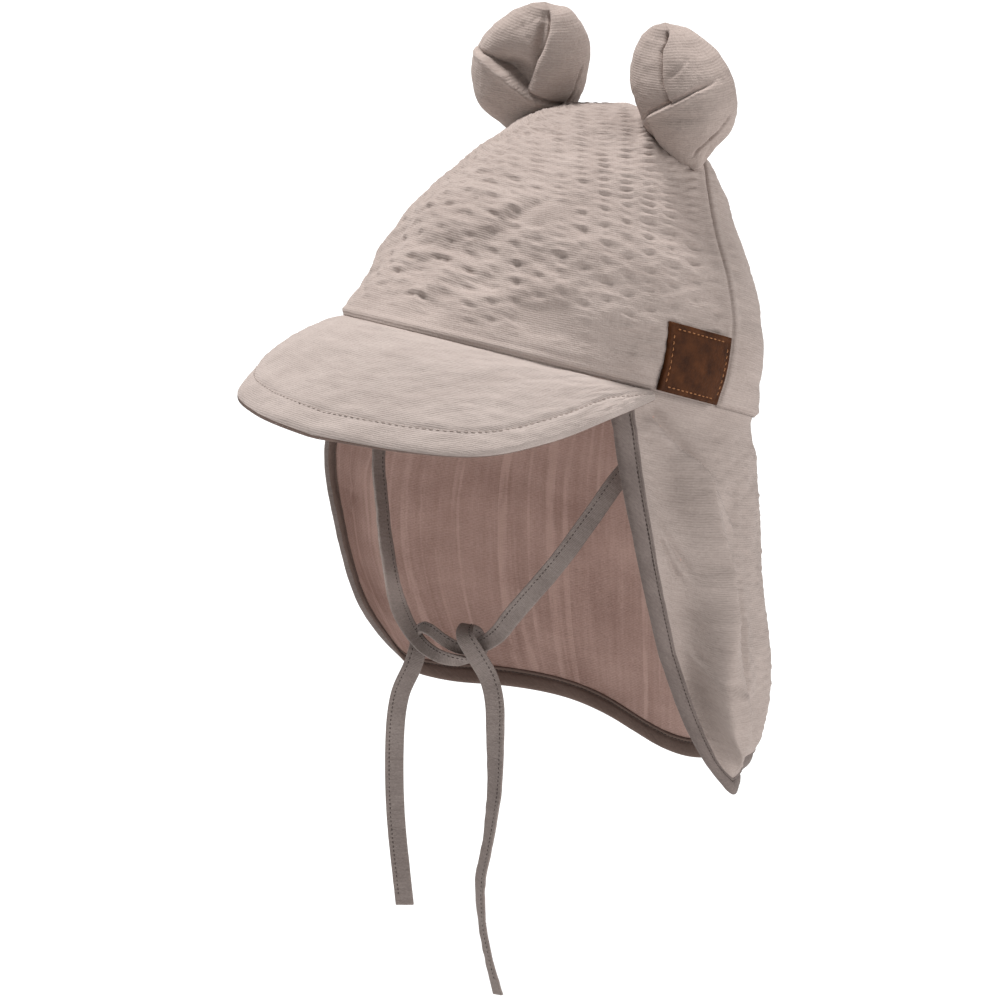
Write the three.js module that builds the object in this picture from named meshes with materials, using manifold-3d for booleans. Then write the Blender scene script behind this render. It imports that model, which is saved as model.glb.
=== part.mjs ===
// Baby's sun cap with two knotted bear ears, a soft peak, a neck flap and chin ties.
// Millimetres, +Z up, peak towards -Y. The origin is the centre of the head opening.
import * as THREE from 'three';
import Module from 'manifold-3d';

const wasm = await Module();
wasm.setup();

// How the cap sits: pitched back, so the front of the rim is the high side
const capTilt = THREE.MathUtils.degToRad(22);

// Crown, measured from the seam that runs over the head from side to side
const seamBehindOrigin = 12;
const rimHalfWidth = 72.6;
const rimFront = 106;
const rimBack = 82;
const crownHeight = 104;
const crownWall = 1.6;
const crownFoldDepth = 1.6;

// Gaps that are left between sewn pieces, and the extra that a faceted cutter needs
const clearance = 0.3;
const bindingGap = 0.95;
const cutterMargin = 0.1;

// Peak
const peakHalfAngle = 70;
const peakReach = 32;
const peakDrop = 44;
const peakThickness = 2.4;
const peakBelly = 2.6;

// Neck flap: outer cloth, lining and the binding round its edge
const flapHalfAngle = 120;
const flapDrop = 155;
const flapFlare = 30;
const flapSwing = 39;
const flapTuck = 6;
const flapLead = 3;
const flapRimWidth = 332;
const flapHemWidth = 262;
const flapFoldDepth = 4;
const nearCornerRadius = 20;
const farCornerRadius = 34;
const outerCloth = 1.2;
const liningCloth = 1.0;
const bindingWidth = 8.5;
const bindingThickness = 3.2;

// Ears
const earSpread = 38;
const earHeight = 55;
const earWidth = 47;
const earDepth = 29;
const earTurn = THREE.MathUtils.degToRad(9);
const earSink = 3;
const earBehindSeam = -6;

// Leather label
const labelWidth = 32;
const labelHeight = 25;
const labelThickness = 1.4;
const labelFromSeam = 3;
const labelAboveRim = 0.6;

// Chin ties
const tieWidth = 7.2;
const tieThickness = 1.5;
const tieSeat = 0.8;
const tieSewnAbove = 3;
const tieSewnBelow = 7;
const knotWidth = 26;
const knotHeight = 13;
const knotDepth = 11;

// Crown sections from the rim to the top, as shares of the crown's own sizes
const crownRows = [
  { up: 0.00, width: 1.000, front: 1.000, back: 1.000 },
  { up: 0.12, width: 1.012, front: 0.915, back: 0.900 },
  { up: 0.30, width: 0.975, front: 0.815, back: 0.820 },
  { up: 0.45, width: 0.875, front: 0.760, back: 0.775 },
  { up: 0.60, width: 0.735, front: 0.665, back: 0.685 },
  { up: 0.74, width: 0.625, front: 0.520, back: 0.490 },
  { up: 0.86, width: 0.530, front: 0.375, back: 0.290 },
  { up: 0.95, width: 0.335, front: 0.210, back: 0.120 },
  { up: 1.00, width: 0.000, front: 0.000, back: 0.000 },
];

// Soft folds in the crown: angle round the head and height as a share, turn of the fold in degrees,
// length and width as shares of the crown's height, rise as a share of the fold depth
const crownFolds = [
  { angle: -100, up: 0.30, turn: 28, length: 0.33, width: 0.058, rise: 1.00 },
  { angle: -78, up: 0.42, turn: 40, length: 0.29, width: 0.058, rise: -0.94 },
  { angle: -66, up: 0.50, turn: 42, length: 0.25, width: 0.048, rise: 0.81 },
  { angle: -112, up: 0.46, turn: 22, length: 0.23, width: 0.048, rise: 0.81 },
  { angle: -74, up: 0.17, turn: 10, length: 0.35, width: 0.048, rise: 0.88 },
  { angle: -40, up: 0.20, turn: -6, length: 0.29, width: 0.048, rise: 0.75 },
  { angle: -128, up: 0.24, turn: -14, length: 0.25, width: 0.048, rise: 0.81 },
  { angle: 52, up: 0.40, turn: 80, length: 0.29, width: 0.067, rise: 0.81 },
  { angle: 96, up: 0.30, turn: 12, length: 0.35, width: 0.067, rise: 0.88 },
  { angle: 134, up: 0.44, turn: 100, length: 0.29, width: 0.067, rise: 0.75 },
];

// Peak's outer edge from the middle to an end: how far it reaches out, turns outward (degrees) and drops
const peakRows = [
  { along: 0.0, reach: 0.94, flare: 0, drop: 1.00 },
  { along: 0.2, reach: 0.97, flare: 15, drop: 0.94 },
  { along: 0.4, reach: 1.00, flare: 12, drop: 0.83 },
  { along: 0.6, reach: 0.79, flare: 5, drop: 0.60 },
  { along: 0.8, reach: 0.48, flare: 3, drop: 0.29 },
  { along: 1.0, reach: 0.10, flare: 0, drop: 0.05 },
];

// Where the flap's cloth has moved to at each share of its drop, from straight below the rim: outwards
// as shares of the flare and backwards as shares of the swing, first at its front edges and sides
const flapSideRows = [
  { down: 0.00, nearOut: 0.00, farOut: 0.00, edgeBack: 0.00, sideOut: 0.00, sideBack: 0.00 },
  { down: 0.08, nearOut: 0.17, farOut: 0.24, edgeBack: -0.09, sideOut: 0.06, sideBack: -0.04 },
  { down: 0.31, nearOut: 0.60, farOut: 0.74, edgeBack: -0.20, sideOut: 0.38, sideBack: -0.34 },
  { down: 0.60, nearOut: 0.73, farOut: 0.86, edgeBack: 0.08, sideOut: 0.53, sideBack: -0.26 },
  { down: 0.80, nearOut: 0.87, farOut: 0.88, edgeBack: 0.40, sideOut: 0.48, sideBack: -0.10 },
  { down: 1.00, nearOut: 1.03, farOut: 0.78, edgeBack: 0.90, sideOut: 0.17, sideBack: 0.08 },
];

// The same at its quarters and its rear
const flapRearRows = [
  { down: 0.00, quarterOut: 0.00, quarterBack: 0.00, rearBack: 0.00 },
  { down: 0.08, quarterOut: 0.08, quarterBack: -0.01, rearBack: 0.02 },
  { down: 0.31, quarterOut: 0.25, quarterBack: -0.03, rearBack: 0.06 },
  { down: 0.60, quarterOut: 0.27, quarterBack: 0.00, rearBack: 0.10 },
  { down: 0.80, quarterOut: 0.20, quarterBack: 0.03, rearBack: 0.10 },
  { down: 1.00, quarterOut: 0.00, quarterBack: 0.05, rearBack: 0.06 },
];

// Length of the flap at the front edges, sides, quarters and rear, as shares of its drop
const hemShares = [1.08, 0.955, 0.925, 0.985, 0.91, 0.935, 1.00];

// Hanging folds of the flap: place across, lean, start and end down and width as shares of its own
// width and length, rise as a share of the fold depth
const flapFolds = [
  { across: 0.085, lean: 0.020, top: 0.20, bottom: 0.98, width: 0.027, rise: 1.00 },
  { across: 0.048, lean: -0.004, top: 0.28, bottom: 0.90, width: 0.021, rise: -0.55 },
  { across: 0.060, lean: 0.110, top: 0.02, bottom: 0.34, width: 0.018, rise: 0.65 },
  { across: 0.250, lean: 0.010, top: 0.30, bottom: 1.10, width: 0.042, rise: 0.65 },
  { across: 0.420, lean: -0.010, top: 0.35, bottom: 1.10, width: 0.045, rise: 0.75 },
  { across: 0.600, lean: 0.010, top: 0.35, bottom: 1.10, width: 0.045, rise: 0.70 },
  { across: 0.760, lean: 0.000, top: 0.30, bottom: 1.10, width: 0.042, rise: 0.60 },
  { across: 0.905, lean: 0.010, top: 0.20, bottom: 0.86, width: 0.033, rise: 0.60 },
];

// Ear sections from the seam to the tip, as shares of its size
const earRows = [
  { up: 0.00, width: 0.22, depth: 0.20, lean: 0.00 },
  { up: 0.12, width: 0.50, depth: 0.42, lean: 0.03 },
  { up: 0.28, width: 0.86, depth: 0.84, lean: 0.06 },
  { up: 0.45, width: 1.00, depth: 1.00, lean: 0.05 },
  { up: 0.62, width: 0.98, depth: 0.98, lean: 0.00 },
  { up: 0.78, width: 0.80, depth: 0.78, lean: -0.09 },
  { up: 0.90, width: 0.52, depth: 0.50, lean: -0.17 },
  { up: 0.97, width: 0.26, depth: 0.26, lean: -0.21 },
  { up: 1.00, width: 0.00, depth: 0.00, lean: -0.22 },
];

// Pleats and wraps on the ear's front, from one point to another: across from the middle and up, width as
// a share of the ear's width, rise as a share of its depth
const earFolds = [
  { fromAcross: -0.42, fromUp: 0.56, toAcross: 0.30, toUp: 0.16, width: 0.068, rise: -0.138 },
  { fromAcross: -0.44, fromUp: 0.44, toAcross: 0.22, toUp: 0.08, width: 0.096, rise: 0.076 },
  { fromAcross: 0.02, fromUp: 0.92, toAcross: -0.02, toUp: 0.30, width: 0.055, rise: -0.124 },
  { fromAcross: 0.18, fromUp: 0.86, toAcross: 0.04, toUp: 0.28, width: 0.068, rise: 0.062 },
];

// Chin ties from the inside of the crown to the knot, and on to their ends: places beside, in front of
// and below the origin
const nearTieRoute = [[60, -29, -23], [52, -38, -40], [42, -45, -58], [27, -51, -79], [8, -57, -92]];
const farTieRoute = [[-65, -22, -36], [-57, -30, -62], [-43, -39, -83], [-26, -50, -92], [-8, -57, -94]];
const nearTailRoute = [
  [8, -58, -95], [19, -58, -106], [22, -57, -125], [21, -56, -150],
  [18, -56, -175], [20, -57, -205], [25, -58, -234],
];
const farTailRoute = [
  [-2, -59, -94], [-13, -61, -105], [-19, -62, -120], [-21, -62, -140],
  [-20, -62, -170], [-17, -62, -207],
];
const knotCentre = new THREE.Vector3(1, -58, -94);

// Smooth curve through the rows of a table, read at any share of the way along it
function cubic(a, b, c, d, t) {
  const bend = 2 * a - 5 * b + 4 * c - d;
  const turn = -a + 3 * b - 3 * c + d;
  return 0.5 * (2 * b + (c - a) * t + bend * t * t + turn * t * t * t);
}

function through(values, place) {
  const last = values.length - 1;
  const at = THREE.MathUtils.clamp(place, 0, last);
  const i = Math.min(Math.floor(at), last - 1);
  const before = i > 0 ? values[i - 1] : 2 * values[0] - values[1];
  const after = i + 2 <= last ? values[i + 2] : 2 * values[last] - values[last - 1];
  return cubic(before, values[i], values[i + 1], after, at - i);
}

function rowPlace(rows, key, value) {
  const next = rows.findIndex((row) => row[key] >= value);
  if (next < 0) return rows.length - 1;
  if (next === 0) return 0;
  return next - 1 + (value - rows[next - 1][key]) / (rows[next][key] - rows[next - 1][key]);
}

const column = (rows, key, place) => through(rows.map((row) => row[key]), place);

const smooth = (from, to, value) => THREE.MathUtils.smoothstep(value, from, to);

// Normal of a surface given as a function of two numbers
function surfaceNormal(surface, a, b, stepA, stepB) {
  const alongA = surface(a + stepA, b).sub(surface(a - stepA, b));
  const alongB = surface(a, b + stepB).sub(surface(a, b - stepB));
  return alongA.cross(alongB).normalize();
}

// Bell curve that the folds' cross-sections follow
const bell = (distance) => Math.exp(-distance * distance);

// Closed geometry from four-cornered faces, with shared corners and no collapsed triangles
function closedGeometry(faces) {
  const corners = [];
  const known = new Map();
  const cornerIndex = (point) => {
    const key = point.toArray().map((value) => Math.round(value * 2e3)).join(' ');
    if (!known.has(key)) {
      known.set(key, corners.length / 3);
      corners.push(point.x, point.y, point.z);
    }
    return known.get(key);
  };
  const triangles = [];
  const addTriangle = (a, b, c) => {
    if (a !== b && b !== c && c !== a) triangles.push(a, b, c);
  };
  for (const face of faces) {
    const [a, b, c, d] = face.map(cornerIndex);
    addTriangle(a, b, c);
    addTriangle(a, c, d);
  }
  const geometry = new THREE.BufferGeometry();
  geometry.setAttribute('position', new THREE.Float32BufferAttribute(corners, 3));
  geometry.setIndex(triangles);
  if (signedVolume(geometry) < 0) geometry.setIndex(triangles.reverse());
  return geometry;
}

function signedVolume(geometry) {
  const position = geometry.getAttribute('position');
  const [a, b, c] = [new THREE.Vector3(), new THREE.Vector3(), new THREE.Vector3()];
  let total = 0;
  for (let i = 0; i < geometry.index.count; i += 3) {
    a.fromBufferAttribute(position, geometry.index.getX(i));
    b.fromBufferAttribute(position, geometry.index.getX(i + 1));
    c.fromBufferAttribute(position, geometry.index.getX(i + 2));
    total += a.dot(b.cross(c));
  }
  return total / 6;
}

// Wall between two grids of points, closed round its four edges
function shell(outer, inner, columns, rows) {
  const grid = (surface) => Array.from({ length: columns + 1 }, (_, i) =>
    Array.from({ length: rows + 1 }, (_, j) => surface(i, j)));
  const out = grid(outer);
  const ins = grid(inner);
  const faces = [];
  for (let i = 0; i < columns; i += 1) {
    for (let j = 0; j < rows; j += 1) {
      faces.push([out[i][j], out[i + 1][j], out[i + 1][j + 1], out[i][j + 1]]);
      faces.push([ins[i][j], ins[i][j + 1], ins[i + 1][j + 1], ins[i + 1][j]]);
    }
    faces.push([out[i + 1][0], out[i][0], ins[i][0], ins[i + 1][0]]);
    faces.push([out[i][rows], out[i + 1][rows], ins[i + 1][rows], ins[i][rows]]);
  }
  for (let j = 0; j < rows; j += 1) {
    faces.push([out[0][j], out[0][j + 1], ins[0][j + 1], ins[0][j]]);
    faces.push([out[columns][j + 1], out[columns][j], ins[columns][j], ins[columns][j + 1]]);
  }
  return closedGeometry(faces);
}

// Closed form from rings of points, pinched or capped at both ends
function loft(ring, ringCount, sideCount) {
  const faces = [];
  for (let j = 0; j < ringCount; j += 1) {
    for (let i = 0; i < sideCount; i += 1) {
      const next = (i + 1) % sideCount;
      faces.push([ring(j, i), ring(j, next), ring(j + 1, next), ring(j + 1, i)]);
    }
  }
  for (const end of [0, ringCount]) {
    const middle = new THREE.Vector3();
    for (let i = 0; i < sideCount; i += 1) middle.addScaledVector(ring(end, i), 1 / sideCount);
    for (let i = 0; i < sideCount; i += 1) {
      const pair = end === 0 ? [(i + 1) % sideCount, i] : [i, (i + 1) % sideCount];
      faces.push([ring(end, pair[0]), ring(end, pair[1]), middle, middle]);
    }
  }
  return closedGeometry(faces);
}

function toManifold(geometry) {
  return new wasm.Manifold(new wasm.Mesh({
    numProp: 3,
    vertProperties: new Float32Array(geometry.getAttribute('position').array),
    triVerts: new Uint32Array(geometry.index.array),
  }));
}

function fromManifold(solid) {
  const mesh = solid.getMesh();
  const geometry = new THREE.BufferGeometry();
  geometry.setAttribute('position', new THREE.Float32BufferAttribute(mesh.vertProperties, 3));
  geometry.setIndex(Array.from(mesh.triVerts));
  return geometry;
}

const cutAway = (geometry, cutter) => fromManifold(toManifold(geometry).subtract(toManifold(cutter)));

// Turns a point of the tilted cap into the upright frame
function upright(point) {
  return point.applyAxisAngle(new THREE.Vector3(1, 0, 0), -capTilt);
}

// Point of the crown: angle in degrees, -90 at the front and 90 at the back; height as a share; inset in mm
function crownPoint(angle, up, inset) {
  const turn = THREE.MathUtils.degToRad(angle);
  const place = rowPlace(crownRows, 'up', up);
  const isFront = angle < 0 && angle > -180;
  const reach = isFront
    ? (rimFront - inset) * column(crownRows, 'front', place)
    : (rimBack - inset) * column(crownRows, 'back', place);
  return new THREE.Vector3(
    (rimHalfWidth - inset) * column(crownRows, 'width', place) * Math.cos(turn),
    seamBehindOrigin + reach * Math.sin(turn),
    (crownHeight - inset) * up,
  );
}

// Rise of the crown's folds at a point, fading out towards the seam, the rim and the top
function crownFoldRise(angle, up) {
  const here = crownPoint(angle, up, 0);
  let rise = 0;
  for (const fold of crownFolds) {
    const centre = crownPoint(fold.angle, fold.up, 0);
    const turn = THREE.MathUtils.degToRad(fold.turn);
    const radius = Math.hypot(centre.x, centre.y - seamBehindOrigin);
    const across = THREE.MathUtils.degToRad(angle - fold.angle) * radius;
    const above = here.z - centre.z;
    const along = (across * Math.cos(turn) + above * Math.sin(turn)) / crownHeight;
    const aside = (above * Math.cos(turn) - across * Math.sin(turn)) / crownHeight;
    rise += fold.rise * bell((2 * along) / fold.length) * bell(aside / fold.width);
  }
  const seamFade = smooth(0.05, 0.25, Math.abs(Math.sin(THREE.MathUtils.degToRad(angle))));
  const rimFade = smooth(0.02, 0.10, up);
  const topFade = 1 - smooth(0.80, 0.95, up);
  return crownFoldDepth * rise * seamFade * rimFade * topFade;
}

// Crown panel on one side of the seam, its rows closer together towards the rim
function crownPanel(fromAngle, toAngle, columns, rows) {
  const seamStep = fromAngle < toAngle ? clearance / 2 : -clearance / 2;
  const crowding = 0.35;
  const heart = new THREE.Vector3(0, seamBehindOrigin, crownHeight * 0.3);
  const upAt = (j) => {
    const share = j / rows;
    return j === rows ? 1 : THREE.MathUtils.lerp(share, 1 - Math.cos((Math.PI / 2) * share), crowding);
  };
  const layer = (inset) => (i, j) => {
    const angle = THREE.MathUtils.lerp(fromAngle, toAngle, i / columns);
    const point = crownPoint(angle, upAt(j), inset);
    const outward = point.clone().sub(heart).normalize();
    point.addScaledVector(outward, crownFoldRise(angle, upAt(j)));
    point.y += seamStep;
    return point;
  };
  return shell(layer(0), layer(crownWall), columns, rows);
}

// Solid crown, a clearance larger than the cloth, that other pieces are cut by
function crownBlank() {
  const ringCount = 36;
  const sideCount = 80;
  const ring = (j, i) => {
    const point = crownPoint(-180 + (360 * i) / sideCount, j / ringCount, -clearance - cutterMargin);
    if (j === 0) point.z = -clearance;
    return point;
  };
  return loft(ring, ringCount, sideCount);
}

// Peak, from the inside of the crown's lower edge to its own outer edge
function peakSurface(across, out) {
  const along = Math.abs(across);
  const angle = -90 + across * peakHalfAngle;
  const turn = THREE.MathUtils.degToRad(angle);
  const start = crownPoint(angle, 0, crownWall);
  const place = rowPlace(peakRows, 'along', along);
  const flare = THREE.MathUtils.degToRad(column(peakRows, 'flare', place)) * Math.sign(across);
  const heading = Math.atan2(Math.sin(turn) / rimFront, Math.cos(turn) / rimHalfWidth) + flare;
  const reach = peakReach * column(peakRows, 'reach', place) + crownWall;
  const drop = peakDrop * column(peakRows, 'drop', place);
  const bellyRise = peakBelly * 4 * out * (1 - out) * (reach / peakReach);
  const bellyForward = 0.6 * bellyRise;
  const dropBend = 1.15;
  return new THREE.Vector3(
    start.x + Math.cos(heading) * (reach * out + bellyForward),
    start.y + Math.sin(heading) * (reach * out + bellyForward),
    -clearance - drop * out ** dropBend + bellyRise,
  );
}

function peakGeometry() {
  const columns = 30;
  const rows = 6;
  const acrossStep = 0.004;
  const outStep = 0.01;
  const layer = (depth) => (i, j) => {
    const across = -1 + (2 * i) / columns;
    const out = j / rows;
    const inside = THREE.MathUtils.clamp(across, acrossStep - 1, 1 - acrossStep);
    const normal = surfaceNormal(peakSurface, inside, Math.max(out, outStep), acrossStep, outStep);
    return peakSurface(across, out).addScaledVector(normal, depth * Math.sign(normal.z));
  };
  return shell(layer(0), layer(-peakThickness), columns, rows);
}

// Neck flap: across in mm from the front edge on the label's side, down in mm from the rim.
// The cloth, the lining and the binding share these steps, so their edges run side by side.
const flapStepCounts = { down: 12, corner: 5, hem: 21 };
const halfBinding = bindingThickness / 2;
const flapInset = crownWall + clearance + halfBinding;
const normalStep = 0.6;

function flapAngle(share) {
  return 90 - flapHalfAngle + share * 2 * flapHalfAngle;
}

function flapLength(across) {
  return flapDrop * through(hemShares, (across / flapRimWidth) * (hemShares.length - 1));
}

// Share of the way round the flap, with the cloth near the front edges kept at its true width
function flapShare(across, downShare) {
  const narrowing = smooth(0.55, 1, downShare);
  const width = THREE.MathUtils.lerp(flapRimWidth, flapHemWidth, narrowing);
  const reachIn = 0.3 * flapRimWidth;
  const fromFar = flapRimWidth - across;
  const nearFade = Math.max(0, 1 - across / reachIn) ** 2;
  const farFade = Math.max(0, 1 - fromFar / reachIn) ** 2;
  const extra = 1 / width - 1 / flapRimWidth;
  return across / flapRimWidth + extra * (across * nearFade - fromFar * farFade);
}

function flapFoldRise(share, downShare) {
  const foldFade = 0.22;
  let rise = 0;
  for (const fold of flapFolds) {
    const aside = (share - fold.across - fold.lean * downShare) / fold.width;
    const start = smooth(fold.top, fold.top + foldFade, downShare);
    const end = 1 - smooth(fold.bottom - foldFade, fold.bottom, downShare);
    rise += flapFoldDepth * fold.rise * bell(aside) * start * end;
  }
  return rise;
}

function flapDownShare(across, down) {
  return THREE.MathUtils.clamp((down - flapLead) / (flapLength(across) - flapLead), 0, 1);
}

function flapBase(across, down) {
  const downShare = flapDownShare(across, down);
  const share = flapShare(across, downShare);
  if (down < flapLead) {
    const up = Math.max(0, -down) / (crownHeight - flapInset);
    const point = crownPoint(flapAngle(share), up, flapInset);
    if (down > 0) point.z -= down;
    return upright(point);
  }
  const point = crownPoint(flapAngle(share), 0, flapInset);
  point.z -= flapLead;
  upright(point);
  const sidePlace = rowPlace(flapSideRows, 'down', downShare);
  const rearPlace = rowPlace(flapRearRows, 'down', downShare);
  const side = (key) => column(flapSideRows, key, sidePlace);
  const rear = (key) => column(flapRearRows, key, rearPlace);
  const out = [side('nearOut'), side('sideOut'), rear('quarterOut'), 0,
    -rear('quarterOut'), -side('sideOut'), -side('farOut')];
  const back = [side('edgeBack'), side('sideBack'), rear('quarterBack'), rear('rearBack'),
    rear('quarterBack'), side('sideBack'), side('edgeBack')];
  const place = share * (out.length - 1);
  point.x += flapFlare * through(out, place);
  point.y += flapSwing * through(back, place);
  point.z -= down - flapLead;
  return point;
}

function flapOutward(surface, across, down) {
  return surfaceNormal((a, b) => surface(b, a), down, across, normalStep, normalStep);
}

function flapSurface(across, down) {
  const rise = flapFoldRise(across / flapRimWidth, flapDownShare(across, down));
  return flapBase(across, down).addScaledVector(flapOutward(flapBase, across, down), rise);
}

function flapPoint(across, down, offset) {
  return flapSurface(across, down).addScaledVector(flapOutward(flapSurface, across, down), offset);
}

// Stations across the flap, closer together in its rounded corners
function flapStations(inset) {
  const near = nearCornerRadius - inset;
  const far = farCornerRadius - inset;
  const stations = [];
  for (let i = 0; i < flapStepCounts.corner; i += 1) {
    stations.push(inset + near * (1 - Math.cos((Math.PI / 2) * (i / flapStepCounts.corner))));
  }
  for (let i = 0; i <= flapStepCounts.hem; i += 1) {
    stations.push(THREE.MathUtils.lerp(nearCornerRadius, flapRimWidth - farCornerRadius, i / flapStepCounts.hem));
  }
  for (let i = flapStepCounts.corner - 1; i >= 0; i -= 1) {
    stations.push(flapRimWidth - inset - far * (1 - Math.cos((Math.PI / 2) * (i / flapStepCounts.corner))));
  }
  return stations;
}

// Depth of the hem at a station, with the corners rounded off
function hemDepth(across, inset) {
  const round = (distance, radius) => {
    const short = Math.max(0, radius - distance);
    return radius - Math.sqrt(Math.max(0, radius * radius - short * short));
  };
  const near = round(across - inset, nearCornerRadius - inset);
  const far = round(flapRimWidth - across - inset, farCornerRadius - inset);
  return flapLength(across) - inset - near - far;
}

function flapPanel(innerOffset, outerOffset) {
  const inset = bindingWidth + bindingGap;
  const stations = flapStations(inset);
  const rows = flapStepCounts.down;
  const downAt = (across, j) => {
    if (j === 0) return -flapTuck;
    return THREE.MathUtils.lerp(flapLead, hemDepth(across, inset), (j - 1) / (rows - 1));
  };
  const layer = (offset) => (i, j) => flapPoint(stations[i], downAt(stations[i], j), offset);
  return shell(layer(outerOffset), layer(innerOffset), stations.length - 1, rows);
}

// Binding along the front edges and the hem: places on its path, each read at a distance in from the edge
function bindingPath() {
  const path = [];
  const straight = (radius, mirrored) => {
    const steps = [];
    for (let i = 0; i <= flapStepCounts.down; i += 1) {
      steps.push((inset) => {
        const across = mirrored ? flapRimWidth - inset : inset;
        const end = flapLength(across) - radius;
        const step = (i - 1) / (flapStepCounts.down - 1);
        return { across, down: i === 0 ? -flapTuck : THREE.MathUtils.lerp(flapLead, end, step) };
      });
    }
    return steps;
  };
  const corner = (radius, mirrored) => {
    const steps = [];
    for (let i = 1; i < flapStepCounts.corner; i += 1) {
      steps.push((inset) => {
        const turn = (Math.PI / 2) * (i / flapStepCounts.corner);
        const from = radius - (radius - inset) * Math.cos(turn);
        const across = mirrored ? flapRimWidth - from : from;
        return { across, down: flapLength(across) - radius + (radius - inset) * Math.sin(turn) };
      });
    }
    return steps;
  };
  path.push(...straight(nearCornerRadius, false), ...corner(nearCornerRadius, false));
  for (let i = 0; i <= flapStepCounts.hem; i += 1) {
    const across = THREE.MathUtils.lerp(nearCornerRadius, flapRimWidth - farCornerRadius, i / flapStepCounts.hem);
    path.push((inset) => ({ across, down: flapLength(across) - inset }));
  }
  path.push(...corner(farCornerRadius, true).reverse(), ...straight(farCornerRadius, true).reverse());
  return path;
}

function bindingGeometry() {
  const path = bindingPath();
  const layer = (offset) => (i, j) => {
    const place = path[i](bindingWidth * j);
    return flapPoint(place.across, place.down, offset);
  };
  return shell(layer(halfBinding), layer(-halfBinding), path.length - 1, 1);
}

// Rise of the ear's pleats and wraps at a place on its front
function earFoldRise(across, up) {
  let rise = 0;
  for (const fold of earFolds) {
    const run = new THREE.Vector2(fold.toAcross - fold.fromAcross, fold.toUp - fold.fromUp);
    const from = new THREE.Vector2(across - fold.fromAcross, up - fold.fromUp);
    for (const vector of [run, from]) vector.multiply(new THREE.Vector2(earWidth, earHeight));
    const along = THREE.MathUtils.clamp(from.dot(run) / run.lengthSq(), 0, 1);
    const aside = from.addScaledVector(run, -along).length() / earWidth;
    rise += earDepth * fold.rise * bell(aside / fold.width);
  }
  return rise;
}

// Ear, folded from a doubled strip of cloth and sewn into the seam: side is 1 on the label's side, -1 opposite
function earGeometry(side) {
  const ringCount = 13;
  const sideCount = 22;
  const crowding = 0.4;
  const footUp = 0.84;
  const foot = crownPoint(side > 0 ? 0 : 180, footUp, 0);
  const base = new THREE.Vector3(side * earSpread, seamBehindOrigin + earBehindSeam, foot.z - earSink);
  const lift = new THREE.Vector3(side * -0.07, -0.42, 0.83).normalize();
  const level = new THREE.Vector3(Math.cos(earTurn), -side * Math.sin(earTurn), 0);
  const wide = level.addScaledVector(lift, -level.dot(lift)).normalize();
  const front = lift.clone().cross(wide);
  const ring = (j, i) => {
    const up = THREE.MathUtils.lerp(j / ringCount, Math.sin((Math.PI / 2) * (j / ringCount)), crowding);
    const turn = (2 * Math.PI * i) / sideCount;
    const place = rowPlace(earRows, 'up', up);
    const across = 0.5 * column(earRows, 'width', place) * Math.cos(turn);
    const facing = Math.sin(turn);
    const rise = earFoldRise(across, up) * smooth(0.1, 0.7, facing);
    const depth = 0.5 * earDepth * column(earRows, 'depth', place) * facing + rise;
    const leaning = across + 0.5 * column(earRows, 'lean', place);
    return base.clone()
      .addScaledVector(lift, up * earHeight)
      .addScaledVector(wide, side * leaning * earWidth)
      .addScaledVector(front, -depth);
  };
  return cutAway(loft(ring, ringCount, sideCount), crownBlank());
}

// Leather label on the crown, just in front of the seam
function labelGeometry() {
  const stepCount = 8;
  const surface = (angle, up) => crownPoint(angle, up, 0);
  const layer = (offset) => (i, j) => {
    const up = (labelAboveRim + (labelHeight * j) / stepCount) / crownHeight;
    const reach = rimFront * column(crownRows, 'front', rowPlace(crownRows, 'up', up));
    const fromSeam = labelFromSeam + labelWidth * (1 - i / stepCount);
    const angle = -THREE.MathUtils.radToDeg(Math.asin(fromSeam / reach));
    const normal = surfaceNormal(surface, angle, up, 0.5, 0.01);
    return surface(angle, up).addScaledVector(normal, offset * Math.sign(normal.x));
  };
  return shell(layer(clearance + labelThickness), layer(clearance), stepCount, stepCount);
}

// Flat tie along a route, its wide side turning from one given direction to the next
function tieGeometry(route, faces, stepCount) {
  const curve = new THREE.CatmullRomCurve3(route, false, 'centripetal');
  const layer = (offset) => (i, j) => {
    const place = i / stepCount;
    const tangent = curve.getTangentAt(place);
    const turned = place * (faces.length - 1);
    const step = Math.min(Math.floor(turned), faces.length - 2);
    const facing = faces[step].clone().lerp(faces[step + 1], turned - step);
    facing.addScaledVector(tangent, -facing.dot(tangent)).normalize();
    const wide = tangent.clone().cross(facing);
    return curve.getPointAt(place)
      .addScaledVector(wide, (j - 0.5) * tieWidth)
      .addScaledVector(facing, offset);
  };
  return shell(layer(tieThickness / 2), layer(-tieThickness / 2), stepCount, 1);
}

// Places inside the flap where a tie is sewn on, level with the crown's lower edge
function tieStart(share) {
  const across = share * flapRimWidth;
  const depth = clearance / 2 + liningCloth + tieSeat + tieThickness / 2;
  return [
    flapPoint(across, -tieSewnAbove, -depth),
    flapPoint(across, tieSewnBelow, -depth - tieThickness),
  ];
}

// Half knot that the ties meet in, grown by an extra where the ties are cut back to it
function knotGeometry(extra) {
  const ringCount = 10;
  const sideCount = 14;
  const wrapDepth = 0.14;
  const wrapCount = 7;
  const slope = 0.23;
  const ring = (j, i) => {
    const along = -Math.cos(Math.PI * (j / ringCount));
    const girth = Math.sqrt(Math.max(0, 1 - along * along)) * (1 + wrapDepth * Math.cos(along * wrapCount));
    const turn = (2 * Math.PI * i) / sideCount;
    return knotCentre.clone().add(new THREE.Vector3(
      along * (knotWidth / 2 + extra),
      girth * Math.cos(turn) * (knotDepth / 2 + extra),
      (girth * Math.sin(turn) - slope * along) * (knotHeight / 2 + extra),
    ));
  };
  return loft(ring, ringCount, sideCount);
}

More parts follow.
